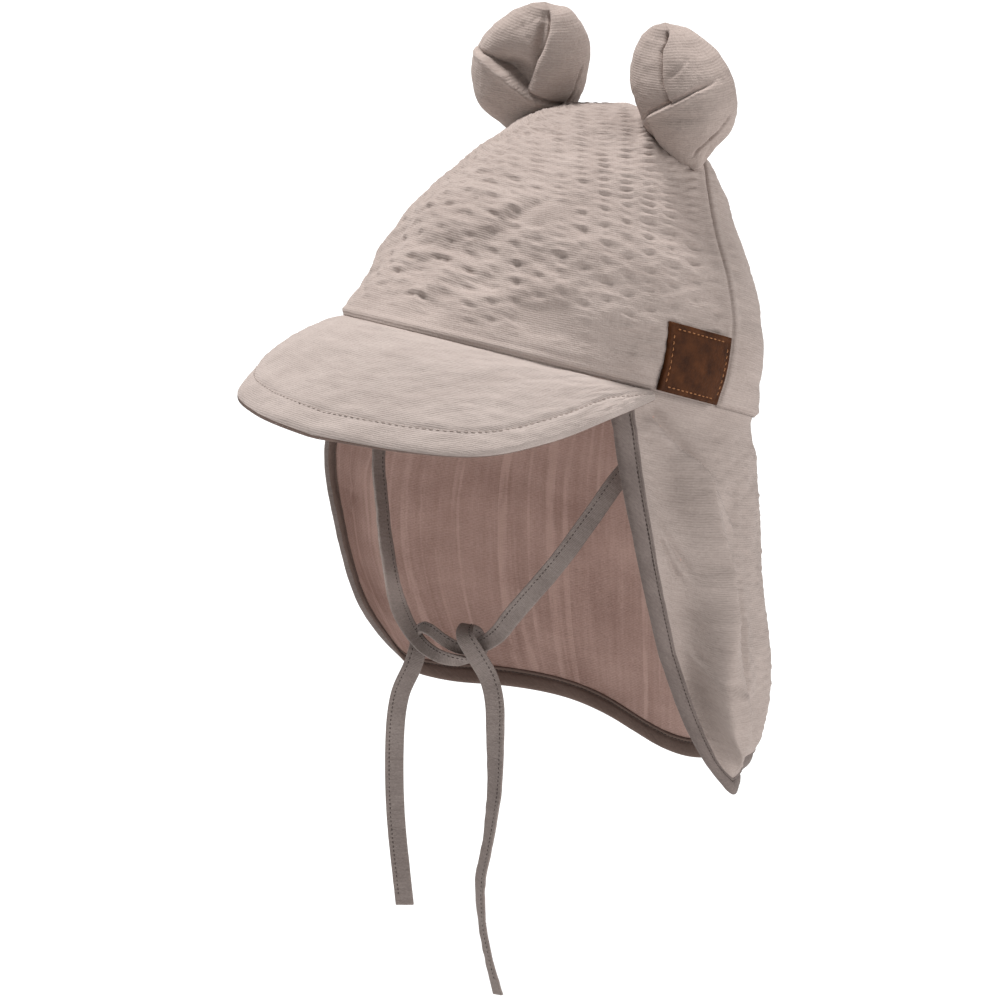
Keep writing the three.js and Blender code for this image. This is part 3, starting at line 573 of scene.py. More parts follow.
def second_material(piece, material, is_second):
    piece.data.materials.append(material)
    kinds = [int(is_second(k)) for k in range(len(piece.data.polygons))]
    piece.data.polygons.foreach_set("material_index", kinds)


def wall(name, outer, inner, material, cloth, rim=None):
    """Closed cloth from a fine grid and an inner grid of every few of its points, all in mm."""
    columns, rows = outer.shape[:2]
    step = (columns - 1) // (inner.shape[0] - 1)
    count = columns * rows
    outer_rim = grid_rim(columns, rows, 0)
    inner_rim = grid_rim(*inner.shape[:2], count)
    faces = grid_faces(columns, rows, 0, False) + grid_faces(*inner.shape[:2], count, True)
    for k, here in enumerate(inner_rim):
        following = inner_rim[(k + 1) % len(inner_rim)]
        stretch = [outer_rim[(k * step + i) % len(outer_rim)] for i in range(step + 1)]
        faces.append(stretch[::-1] + [here, following])
    vertices = np.concatenate([outer.reshape(-1, 3), inner.reshape(-1, 3)])
    places = [cloth_place(*(way[::each, ::each] for way in cloth)) for each in (1, step)]
    piece = new_object(name, vertices, faces, material, np.concatenate(places))
    # Edge faces between the two grids take a second material where given; the peak gives the darker cloth
    # of painted shade
    if rim:
        first = len(faces) - len(inner_rim)
        second_material(piece, rim, lambda k: k >= first)
    weld(piece)
    return piece


def ring_faces(rings, sides):
    j, i = np.meshgrid(np.arange(rings - 1), np.arange(sides), indexing="ij")
    following = (i + 1) % sides
    quad = [j * sides + i, j * sides + following, (j + 1) * sides + following, (j + 1) * sides + i]
    return np.stack(quad, axis=-1).reshape(-1, 4).tolist()


def tube(name, rings, material, cloth, inside=None, inside_from=0):
    """Closed form from rings of points, capped at both ends, with its inner side in a second, darker
    material where given: painted shade.
    """
    count, sides = rings.shape[:2]
    faces = ring_faces(count, sides)
    faces.append(list(range(sides))[::-1])
    faces.append([(count - 1) * sides + i for i in range(sides)])
    piece = new_object(name, rings.reshape(-1, 3), faces, material, cloth)
    if inside:
        second_material(piece, inside, lambda k: k % sides >= inside_from)
    weld(piece)
    return piece


def grid_normals(grid, toward):
    """Directions square to the grid on the side of unit vectors, which serve where the grid has no area."""
    normal = np.cross(np.gradient(grid, axis=0), np.gradient(grid, axis=1))
    length = np.linalg.norm(normal, axis=-1, keepdims=True)
    normal = np.where(length > 1e-7, normal / np.maximum(length, 1e-9), toward)
    return normal * np.sign(np.sum(normal * toward, axis=-1, keepdims=True))


def run_length(grid, axis):
    """Distance along the grid's lines from their first point, in mm."""
    steps = np.linalg.norm(np.diff(grid, axis=axis), axis=-1)
    pad = [(0, 0), (0, 0)]
    pad[axis] = (1, 0)
    return np.cumsum(np.pad(steps, pad), axis=axis)


def line_run(line):
    return run_length(line[None], 1)[0]


def evenly(line, pitch):
    """Places at an even pitch along a line of points, as fractional indexes of its points."""
    run = line_run(line)
    return np.interp(np.arange(pitch, run[-1] - pitch / 2, pitch), run, np.arange(len(line)))


def picked(values, places):
    return np.stack([np.interp(places, np.arange(len(values)), values[:, k]) for k in range(3)], axis=-1)


def stitches(name, lines, material, pitch, length, radius):
    """Raised threads along lines, each given as its points and the cloth's normals there."""
    middles, headings, normals = [], [], []
    for line, normal in lines:
        places = evenly(line, pitch)
        middles.append(picked(line, places))
        headings.append(unit(picked(np.gradient(line, axis=0), places)))
        normals.append(unit(picked(normal, places)))
    middle, heading, normal = (np.concatenate(parts) for parts in (middles, headings, normals))
    beside = np.cross(heading, normal)
    along = np.array([-1.0, -0.6, 0.0, 0.6, 1.0])
    around = np.linspace(0, 2 * np.pi, 6, endpoint=False)
    thick = radius * np.array([0.3, 0.85, 1.0, 0.85, 0.3])
    lift = radius * np.array([-0.7, 0.2, 0.6, 0.2, -0.7])
    rings = middle[:, None, None] + heading[:, None, None] * (along * length / 2)[None, :, None, None]
    sideways = thick[:, None] * np.cos(around)
    upwards = lift[:, None] + thick[:, None] * np.sin(around)
    rings = rings + beside[:, None, None] * sideways[..., None] + normal[:, None, None] * upwards[..., None]
    each = len(along) * len(around)
    single = ring_faces(len(along), len(around))
    single += [list(range(len(around)))[::-1], list(range(each - len(around), each))]
    faces = [[index + k * each for index in face] for k in range(len(middle)) for face in single]
    passed = along[:, None] * length / 2 + np.arange(len(middle))[:, None, None] * pitch
    piece = new_object(name, rings.reshape(-1, 3), faces, material, cloth_place(around * radius, passed))
    return piece


# Materials
def node_material(name, roughness, sheen):
    material = bpy.data.materials.new(name)
    material.use_nodes = True
    nodes = material.node_tree.nodes
    shader = nodes["Principled BSDF"]
    shader.inputs["Roughness"].default_value = roughness
    shader.inputs["Sheen Weight"].default_value = sheen
    shader.inputs["Sheen Roughness"].default_value = 0.5
    shader.inputs["Specular IOR Level"].default_value = 0.2
    place = nodes.new("ShaderNodeAttribute")
    place.attribute_name = "cloth"
    return material, nodes, material.node_tree.links, shader, place.outputs["Vector"]


def two_tones(nodes, links, shader, tone, *stops):
    """Colours the surface by a tone, between two colours that are given with their tones."""
    ramp = nodes.new("ShaderNodeValToRGB")
    for element, (position, colour) in zip(ramp.color_ramp.elements, stops):
        element.position = position
        element.color = (*colour, 1)
    links.new(tone, ramp.inputs["Fac"])
    links.new(ramp.outputs["Color"], shader.inputs["Base Color"])


def raised(nodes, links, shader, height, strength, distance):
    relief = nodes.new("ShaderNodeBump")
    relief.inputs["Strength"].default_value = strength
    relief.inputs["Distance"].default_value = distance
    links.new(height, relief.inputs["Height"])
    links.new(relief.outputs["Normal"], shader.inputs["Normal"])


def cloth_material(name, dark, light, thread, slub=(90, 700), bump=0.45, stripes=0.0):
    """Woven cloth: threads, slubs and a soft cloudy change of colour along its own coordinates."""
    material, nodes, links, shader, place = node_material(name, roughness=0.95, sheen=0.03)

    def textured(kind, x, y, detail):
        mapping = nodes.new("ShaderNodeMapping")
        mapping.inputs["Scale"].default_value = (x, y, 1)
        links.new(place, mapping.inputs["Vector"])
        texture = nodes.new(kind)
        texture.inputs["Scale"].default_value = 1
        texture.inputs["Detail"].default_value = detail
        links.new(mapping.outputs["Vector"], texture.inputs["Vector"])
        return texture

    def noise(x, y, detail):
        return textured("ShaderNodeTexNoise", x, y, detail).outputs["Fac"]

    def waves(x, y, direction):
        texture = textured("ShaderNodeTexWave", x, y, 1)
        texture.wave_type = "BANDS"
        texture.bands_direction = direction
        texture.inputs["Distortion"].default_value = 1.2
        return texture.outputs["Fac"]

    def blend(kind, a, b):
        node = nodes.new("ShaderNodeMath")
        node.operation = kind
        for socket, value in zip(node.inputs, (a, b)):
            if hasattr(value, "links"):
                links.new(value, socket)
            else:
                socket.default_value = value
        return node.outputs["Value"]

    def total(*parts):
        result = 0
        for value, weight in parts:
            result = blend("ADD", result, blend("MULTIPLY", value, weight))
        return result

    def ramped(value, low, high, first, last):
        node = nodes.new("ShaderNodeMapRange")
        links.new(value, node.inputs["Value"])
        for key, number in zip(("From Min", "From Max", "To Min", "To Max"), (low, high, first, last)):
            node.inputs[key].default_value = number
        return node.outputs["Result"]

    waves_per_unit = 3.2
    per_thread = 1 / (thread * MM) / waves_per_unit
    weft = waves(per_thread * 0.15, per_thread, "Y")
    warp = waves(per_thread, per_thread * 0.15, "X")
    weave = total((weft, 0.8), (warp, 0.2))
    slubs = noise(slub[0], slub[1], 3)
    clouds = noise(45, 45, 3)
    grain = noise(900, 1500, 2)
    tone = total((slubs, 0.24), (clouds, 0.36), (grain, 0.34), (weave, 0.08))
    if stripes:
        streaks = ramped(noise(260, 5, 1), 0.56, 0.66, 0.0, stripes)
        broken = ramped(noise(420, 60, 2), 0.35, 0.60, 0.3, 1.0)
        tone = blend("ADD", tone, blend("MULTIPLY", streaks, broken))
    two_tones(nodes, links, shader, tone, (0.38, dark), (0.66, light))
    height = total((weave, 0.45), (grain, 1), (slubs, 0.4))
    raised(nodes, links, shader, height, strength=bump, distance=0.0004)
    return material


def leather_material(name):
    material, nodes, links, shader, place = node_material(name, roughness=0.62, sheen=0.0)
    shader.inputs["Specular IOR Level"].default_value = 0.09
    grain = nodes.new("ShaderNodeTexVoronoi")
    grain.inputs["Scale"].default_value = 1100
    links.new(place, grain.inputs["Vector"])
    clouds = nodes.new("ShaderNodeTexNoise")
    clouds.inputs["Scale"].default_value = 130
    clouds.inputs["Detail"].default_value = 7
    clouds.inputs["Roughness"].default_value = 0.62
    links.new(place, clouds.inputs["Vector"])
    stops = (0.34, (0.029, 0.009, 0.003)), (0.72, (0.092, 0.030, 0.009))
    two_tones(nodes, links, shader, clouds.outputs["Fac"], *stops)
    raised(nodes, links, shader, grain.outputs["Distance"], strength=0.45, distance=0.0003)
    return material


CROWN_CLOTH = cloth_material("crown_cloth", (0.316, 0.256, 0.229), (0.425, 0.353, 0.320), 0.85)
PEAK_CLOTH = cloth_material("peak_cloth", (0.351, 0.292, 0.265), (0.437, 0.370, 0.339), 0.75, (120, 420))
EAR_CLOTH = cloth_material("ear_cloth", (0.325, 0.262, 0.234), (0.438, 0.361, 0.325), 0.85)
FLAP_CLOTH = cloth_material("flap_cloth", (0.312, 0.254, 0.228), (0.413, 0.342, 0.310), 0.85)
LINING_LOOK = cloth_material("lining_cloth", (0.330, 0.210, 0.178), (0.510, 0.350, 0.303), 0.7,
                             slub=(420, 26), bump=0.35, stripes=0.22)
BINDING_CLOTH = cloth_material("binding_cloth", (0.132, 0.104, 0.094), (0.216, 0.174, 0.158), 0.55)
# Darker, browner copy of the binding cloth: painted shade for the binding's inner side and the peak's edge
# faces
PAINTED_SHADE_CLOTH = cloth_material("painted_shade_cloth", (0.118, 0.080, 0.066), (0.172, 0.121, 0.101), 0.55)
TIE_CLOTH = cloth_material("tie_cloth", (0.201, 0.162, 0.147), (0.319, 0.267, 0.244), 0.55)
THREAD = cloth_material("thread", (0.070, 0.053, 0.047), (0.105, 0.082, 0.073), 0.3)
PEAK_THREAD = cloth_material("peak_thread", (0.330, 0.268, 0.240), (0.420, 0.347, 0.312), 0.3)
LABEL_THREAD = cloth_material("label_thread", (0.300, 0.130, 0.055), (0.420, 0.190, 0.085), 0.3)
LEATHER = leather_material("leather")


# Camera, at the photograph's viewing angle
def aim_camera():
    azimuth, elevation = math.radians(40), math.radians(19)
    distance = 1500
    pixels_per_mm = 2.64
    origin_pixel = (546.5, 365)
    middle_pixel = 500
    right = Vector((math.cos(azimuth), math.sin(azimuth), 0))
    back = Vector((
        math.sin(azimuth) * math.cos(elevation),
        -math.cos(azimuth) * math.cos(elevation),
        math.sin(elevation),
    ))
    up = back.cross(right)
    aside = (middle_pixel - origin_pixel[0]) / pixels_per_mm
    above = (origin_pixel[1] - middle_pixel) / pixels_per_mm
    place = (right * aside + up * above + back * distance) * MM
    data = bpy.data.cameras.new("camera")
    data.sensor_width = 36
    data.lens = 36 * distance * pixels_per_mm / (2 * middle_pixel)
    camera = linked("camera", data)
    camera.matrix_world = Matrix.Translation(place) @ Matrix((right, up, back)).transposed().to_4x4()
    bpy.context.scene.camera = camera


aim_camera()


# Chin ties
def tie_start(share, facing_sign):
    """Rows for the two places where a tie is sewn to the inside of the flap."""
    across = np.array(share * FLAP_RIM_WIDTH)
    above, below = np.array(-float(TIE_SEWN_ABOVE)), np.array(float(TIE_SEWN_BELOW))
    depth = CLEARANCE / 2 + LINING_CLOTH + TIE_SEAT + TIE_THICKNESS / 2
    facing = flap_outward(flap_surface, across, below) * facing_sign
    rows = []
    for down, extra in ((above, 0), (below, TIE_THICKNESS)):
        inward = -flap_outward(flap_surface, across, down)
        rows.append([*(flap_surface(across, down) + inward * (depth + extra)), *facing, 1.0])
    return rows


def tie(name, rows, stitch_side, replaced):
    """Flat sewn tie through rows of place, facing and share of width, with its line of stitches."""
    rows = np.array(rows, float)
    fine = np.linspace(0, len(rows) - 1, 60 * len(rows))
    run = line_run(np.stack([through(rows[:, k], fine) for k in range(3)], axis=-1))
    length = run[-1]
    along = np.linspace(0, length, 460)
    even = np.interp(along, run, fine)
    centre = np.stack([through(rows[:, k], even) for k in range(3)], axis=-1)
    facing = picked(rows[:, 3:6], even)
    tangent = unit(np.gradient(centre, axis=0))
    facing = unit(facing - tangent * np.sum(facing * tangent, axis=-1, keepdims=True))
    wide = np.cross(tangent, facing)
    share = np.interp(even, np.arange(len(rows)), rows[:, 6])[:, None]
    thick = TIE_THICKNESS / 2 * (1 + 0.5 * (1 - share))
    turn = np.linspace(0, 2 * np.pi, 24, endpoint=False)
    aside = np.sign(np.cos(turn)) * np.abs(np.cos(turn)) ** 0.35 * TIE_WIDTH / 2
    above = np.sign(np.sin(turn)) * np.abs(np.sin(turn)) ** 0.6
    ripple = 0.16 * soft_noise(along[:, None] / 3.1, aside[None] / 3, 61)
    cup = 0.25 * (aside / TIE_WIDTH * 2) ** 2
    seam_at = stitch_side * TIE_STITCH_ASIDE
    seam = -0.22 * bell((aside - seam_at) / 0.5)
    height = thick * above + ripple + cup + seam * np.sign(above)
    rings = centre[:, None] + wide[:, None] * (share * aside)[..., None]
    rings = rings + facing[:, None] * height[..., None]
    piece = tube(name, rings, TIE_CLOTH, cloth_place(aside[None], along[:, None]))
    lines = []
    for side in (1, -1):
        line = centre + wide * (seam_at * share) + facing * (side * (thick - 0.12) + 0.07)
        lines.append((line[6:-6], facing[6:-6] * side))
    threads = stitches(name + "_stitches", lines, THREAD, pitch=1.75, length=1.15, radius=0.17)
    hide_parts(*replaced)


tie("far_tie", tie_start(FAR_SEWN_SHARE, -1) + FAR_TIE_ROUTE, -1, ["tie_right", "tail_left"])
tie("near_tie", tie_start(NEAR_SEWN_SHARE, 1) + NEAR_TIE_ROUTE, 1, ["tie_left", "tail_right", "tie_knot"])


# Crown panels
def wrinkle_rise(grid):
    """Valleys with a ridge above them, between pairs of places on the crown."""
    rise = 0
    for from_angle, from_up, to_angle, to_up, width, depth in CROWN_WRINKLES:
        start, end = crown_point(from_angle, from_up), crown_point(to_angle, to_up)
        run = end - start
        span = np.linalg.norm(run)
        run = run / span
        across = unit(np.cross(run, (start + end) / 2 - CROWN_HEART))
        across = across * math.copysign(1, across[2])
        offset = grid - start
        along = offset @ run
        past = np.maximum(0, np.maximum(-along, along - span))
        bow = 0.08 * span * np.sin(np.pi * np.clip(along / span, 0, 1))
        aside = offset @ across - bow
        from_axis = np.linalg.norm(offset - run * along[..., None], axis=-1)
        near = bell(past / 3.5) * bell(np.maximum(0, from_axis - 12) / 6)
        near = near * (0.75 + 0.45 * soft_noise(along / 7, aside / 9, 27))
        rise = rise + 1.1 * depth * near * valley(aside, 1.45 * width, 1.7)
    return rise


def crown_panel(name, to_angle, node, columns, rows):
    sign = math.copysign(1, to_angle)
    fine_ups = np.linspace(0, 1, 400)
    run = line_run(crown_point(60 * sign, fine_ups))
    ups = np.interp(np.linspace(0, run[-1], rows), run, fine_ups)
    share = np.linspace(0, 1, columns)
    share = 0.75 * share + 0.25 * (1 - np.cos(np.pi * share)) / 2
    margin = 1e-6
    angles = np.clip(np.abs(share * to_angle), margin, 180 - margin) * sign
    angle, up = np.meshgrid(angles, ups, indexing="ij")
    grid = crown_point(angle, up)
    grid = grid + unit(grid - CROWN_HEART) * crown_fold_rise(angle, up)[..., None]
    normal = grid_normals(grid, unit(grid - CROWN_HEART))
    world = upright(grid)
    stripe_turn = math.radians(40)
    aside = np.abs(world[..., 0]) * math.cos(stripe_turn) + world[..., 1] * math.sin(stripe_turn)
    from_rim = run_length(grid, 1)
    down = run[-1] - from_rim
    loose = smooth(0.80, 0.45, up)
    from_axis = np.hypot(grid[..., 0], grid[..., 1] - SEAM_BEHIND_ORIGIN)
    from_seam = np.abs(np.sin(np.radians(angle))) * from_axis
    calm = smooth(0.5, 8.0, from_seam) * smooth(5.0, 14.0, from_rim)
    height = puckers(aside, down, loose) * (0.12 + 0.88 * calm)
    if to_angle < 0:
        height = height * (1 - 0.65 * smooth(-116, -136, angle))
        height = height * (1 + 0.6 * smooth(20, -15, world[..., 0]) * (1 - loose))
    else:
        height = height * (0.7 - 0.5 * bell((angle - 32) / 26))
    wrinkles = wrinkle_rise(grid) * smooth(1.0, 6.0, from_seam) * smooth(3.0, 9.0, from_rim)
    height = height + wrinkles
    height = (height + uneven(aside, down, CROWN_SLACK) * calm) * (1 - 0.6 * smooth(0.88, 1.0, up))
    height = shallow(height, CROWN_RELIEF_DEPTH)
    seam_line = 0.5 * bell((from_seam - 2.4) / 2) - 2 * bell(from_seam / 0.5)
    rim_roll = 0.3 * bell((from_rim - 2.2) / 1.2) - 0.15 * bell((from_rim - 4.6) / 0.8)
    height = height + seam_line + rim_roll - 1.4 * smooth(2.8, 0, from_rim) ** 2
    grid[..., 1] += CLEARANCE / 2 * sign
    outer = grid + normal * height[..., None]
    inner = grid - normal * CROWN_WALL
    piece = wall(name, upright(outer), upright(inner)[::4, ::4], CROWN_CLOTH, (aside, down))
    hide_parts(node)


crown_panel("front_panel", -180, "crown_front", columns=337, rows=229)
crown_panel("back_panel", 180, "crown_back", columns=241, rows=161)


# Peak
def peak():
    across, out = np.meshgrid(np.linspace(-0.999, 0.999, 301), np.linspace(0, 1, 73), indexing="ij")
    grid = peak_point(across, out)
    normal = grid_normals(grid, np.array([0.0, 0.0, 1.0]))
    aside = run_length(grid, 0)
    along = run_length(grid, 1)
    width = along[:, -1:]
    edge = width - along
    seam_in = np.minimum(PEAK_STITCH_IN, 0.42 * width)
    height = uneven(aside, along, PEAK_SLACK)
    height = height - 0.32 * bell((edge - seam_in) / 0.8) + 0.25 * bell((edge - seam_in - 2.4) / 1.8)
    outer = grid + normal * (height * smooth(0, 2, edge) * smooth(0, 3, along))[..., None]
    inner = grid - normal * PEAK_THICKNESS
    roll = bell(edge / 1.2)[..., None]
    middle = (outer + inner) / 2
    outer, inner = outer + (middle - outer) * roll * 0.7, inner + (middle - inner) * roll * 0.6
    # The peak's edge faces and its thin under edge take the darker cloth of painted shade: a painted shadow
    # line under the peak's edge
    under = PEAK_UNDER_EDGE * smooth(-0.96, -0.7, across[:, -1:]) * smooth(0.35, -0.1, across[:, -1:])
    inner[:, -1] += unit(grid[:, -1] - grid[:, -3]) * under
    piece = wall("soft_peak", upright(outer), upright(inner)[::4, ::4], PEAK_CLOTH, (aside, along),
                 PAINTED_SHADE_CLOTH)
    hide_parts("peak")
    line, facing = [], []
    for i in range(4, len(grid) - 4):
        place = np.interp(width[i] - seam_in[i], along[i], np.arange(along.shape[1]))
        line.append(picked(outer[i], place)[0])
        facing.append(picked(normal[i], place)[0])
    lines = [(upright(np.array(line)), upright(np.array(facing)))]
    stitches("peak_stitches", lines, PEAK_THREAD, pitch=2.5, length=1.9, radius=0.22)


peak()


# Neck flap
def flap_panel(name, node, coarse, fine, material, relief, columns, rows):
    """One layer between its coarse and its fine side, both given as offsets from the flap's middle."""
    stations = np.linspace(LAYER_INSET, FLAP_RIM_WIDTH - LAYER_INSET, columns)
    across = np.repeat(stations[:, None], rows, axis=1)
    down = -FLAP_TUCK + (hem_depth(across, LAYER_INSET) + FLAP_TUCK) * np.linspace(0, 1, rows)
    surface = flap_surface(across, down)
    outward = flap_outward(flap_surface, across, down)
    ridges = (flap_ridge_rise(across, down) * smooth(0, 6, down))[..., None]
    height = relief(across, down)[..., None]
    front = surface + outward * (fine + ridges + height * math.copysign(1, fine))
    back = surface + outward * (coarse + ridges)
    piece = wall(name, front, back[::2, ::2], material, (across, down))
    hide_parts(node)
    return piece


def flap_ridge_rise(across, down):
    """Ridges and creases that both layers of the flap share, in mm; none within reach of the binding."""
    down_share = flap_down_share(across, down)
    rise = 0
    for downs, places, height, width in FLAP_RIDGES:
        aside = across - np.interp(down_share, downs, places) * FLAP_RIM_WIDTH
        fade = smooth(downs[0] - 0.05, downs[0] + 0.08, down_share)
        fade = fade * (1 - smooth(downs[-1] - 0.12, downs[-1] + 0.03, down_share))
        wide = np.where(aside < 0, 0.8, 1.7) * width
        crest = 0.8 * bell(aside / wide) + 0.2 * bell(aside / (0.35 * width))
        rise = rise + height * fade * (crest - 0.35 * bell((aside + 1.9 * width) / (1.1 * width)))
    for from_across, from_down, to_across, to_down, width, depth in FLAP_CREASES:
        run = (to_across - from_across, to_down - from_down)
        past, aside = from_line(across - from_across, down - from_down, *run)
        rise = rise + depth * bell(past / 3) * valley(aside, width, 1.9)
    return rise * edge_fade(across, down)


def edge_fade(across, down):
    edge = np.minimum(np.minimum(across, FLAP_RIM_WIDTH - across), flap_length(across) - down)
    return smooth(7, 14, edge)


def outer_relief(across, down):
    height = 0.65 * puckers(across, down, 0.75 + 0 * down) + uneven(across, down, FLAP_SLACK)
    return shallow(height * smooth(2, 12, down) * edge_fade(across, down), FLAP_RELIEF_DEPTH)


def lining_relief(across, down):
    return uneven(across, down, LINING_RIBS) * edge_fade(across, down)


outer_flap = flap_panel("outer_flap", "neck_flap", CLEARANCE / 2, CLEARANCE / 2 + OUTER_CLOTH, FLAP_CLOTH,
                        outer_relief, columns=341, rows=169)
lining = flap_panel("lining", "flap_lining", -CLEARANCE / 2, -CLEARANCE / 2 - LINING_CLOTH, LINING_LOOK,
                    lining_relief, columns=265, rows=117)


# Binding round the flap, station by station, each read at a row of distances in from the edge
def front_edge_places(insets, mirrored, radius, straight_count, corner_count):
    """Stations from the rim down a front edge and round its corner."""
    share = np.linspace(0, 1, straight_count)[:, None]
    turn = np.radians(90 * np.arange(1, corner_count)[:, None] / corner_count)
    across = np.concatenate([insets + 0 * share, radius - (radius - insets) * np.cos(turn)])
    if mirrored:
        across = FLAP_RIM_WIDTH - across
    end = flap_length(across) - radius
    straight = (end[:straight_count] + FLAP_TUCK) * share - FLAP_TUCK
    corner = end[straight_count:] + (radius - insets) * np.sin(turn)
    return points(across, np.concatenate([straight, corner]))


def binding_places(insets):
    hem = np.linspace(NEAR_CORNER, FLAP_RIM_WIDTH - FAR_CORNER, 250)[:, None]
    near = front_edge_places(insets, False, NEAR_CORNER, straight_count=140, corner_count=26)
    far = front_edge_places(insets, True, FAR_CORNER, straight_count=120, corner_count=40)[::-1]
    places = np.concatenate([near, points(hem, flap_length(hem) - insets), far])
    return places[..., 0], places[..., 1]


# Section of the binding: distance in from the edge and height from the flap's middle
BINDING_SECTION = [
    (8.5, 0.2), (8.5, 1.0), (8.2, 1.55), (7.7, 1.75), (7.2, 1.55), (6.8, 0.95), (6.4, 0.95), (6.0, 1.35),
    (5.2, 1.62), (4.0, 1.72), (2.4, 1.66), (1.1, 1.35), (0.3, 0.75),
]
STITCH_INSET = 6.6


def binding():
    section = BINDING_SECTION + [(0.0, 0.0)] + [(inset, -offset) for inset, offset in BINDING_SECTION[::-1]]
    insets = np.array([inset for inset, _ in section], float)
    offsets = np.array([offset for _, offset in section], float)
    across, down = binding_places(np.append(insets, STITCH_INSET))
    surface = flap_surface(across, down)
    outward = flap_outward(flap_surface, across, down)
    run = line_run(surface[:, len(BINDING_SECTION)])[:, None]
    height = offsets + 0.14 * soft_noise(run / 4, insets[None] / 4, 47) * np.sign(offsets)
    rings = surface[:, :-1] + outward[:, :-1] * height[..., None]
    bias = math.sqrt(0.5)
    cloth = cloth_place((run + insets) * bias, (run - insets) * bias)
    # The binding's inner side takes the darker, browner cloth of painted shade
    piece = tube("flap_edge_binding", rings, BINDING_CLOTH, cloth, PAINTED_SHADE_CLOTH, len(BINDING_SECTION) + 1)
    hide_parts("flap_binding")
    lines = []
    for side in (1, -1):
        line = surface[:, -1] + outward[:, -1] * side * 0.98
        lines.append((line, outward[:, -1] * side))
    threads = stitches("binding_stitches", lines, THREAD, pitch=1.75, length=1.2, radius=0.2)
    return piece, threads


edge_binding, edge_stitches = binding()


# Ears
def wrapped(turn, middle):
    """Difference between directions round an ear, in degrees from -180 to 180."""
    return (turn - middle + 180) % 360 - 180


def ear_band(shape, turn, up):
    """Rise of the wrapped band, and how clear of it each place is, from 0 to 1."""
    band_turns, band_ups = zip(*shape["band"])
    rise_turns, rises = zip(*shape["band_rise"])
    signed = np.where(turn > 300, turn - 360, turn)
    below = (np.interp(signed, band_turns, band_ups) - up) * EAR_HEIGHT
    strength = np.interp(signed, rise_turns, rises, left=0, right=0)
    band = strength * smooth(-0.25, 0.45, below) + 0.25 * strength * bell((below - 1.2) / 1.0)
    band = band - 0.55 * strength * bell((below + 0.7) / 0.7)
    return band, np.where(strength > 0.2, smooth(0.2, -0.6, below), 1)


def ear_pleat(shape, turn, up, reach):
    """Rise of the folded edge that runs up the ear, with the pocket beside it."""
    pleat_ups, pleat_turns = zip(*shape["pleat"])
    aside = np.radians(wrapped(turn, np.interp(up, pleat_ups, pleat_turns))) * np.maximum(reach, 6)
    fade = smooth(pleat_ups[0] - 0.06, pleat_ups[0], up)
    fade = fade * (1 - smooth(pleat_ups[-1] - 0.05, pleat_ups[-1] + 0.02, up))
    step_rise = abs(shape["pleat_step"])
    toward = aside * math.copysign(1, shape["pleat_step"])
    over = step_rise * smooth(-0.25, 0.35, toward) * bell(np.maximum(0, toward - 2) / 13)
    under = -0.6 * step_rise * bell(np.minimum(0, toward + 0.2) / 4.5) * (toward < 0)
    return (over + under - shape["pleat_depth"] * bell(aside / 0.8)) * fade


def ear_relief(shape, turn, up, reach):
    """Rise of the ear's folded cloth in mm: band, pleat, swellings, dents and creases."""
    band, above_band = ear_band(shape, turn, up)
    rise = band + ear_pleat(shape, turn, up, reach) * above_band
    for middle_turn, middle_up, turn_spread, up_spread, height in shape["dents"]:
        spot = bell(wrapped(turn, middle_turn) / turn_spread) * bell((up - middle_up) / up_spread)
        rise = rise + height * spot * (above_band if height < -2 else 1)
    for from_turn, from_up, to_turn, to_up, height in shape["creases"]:
        run = (math.radians(to_turn - from_turn) * EAR_RADIUS, (to_up - from_up) * EAR_HEIGHT)
        offset = (np.radians(wrapped(turn, from_turn)) * EAR_RADIUS, (up - from_up) * EAR_HEIGHT)
        past, beside = from_line(*offset, *run)
        rise = rise - height * bell(past / 2) * bell(beside / 0.8)
    return rise


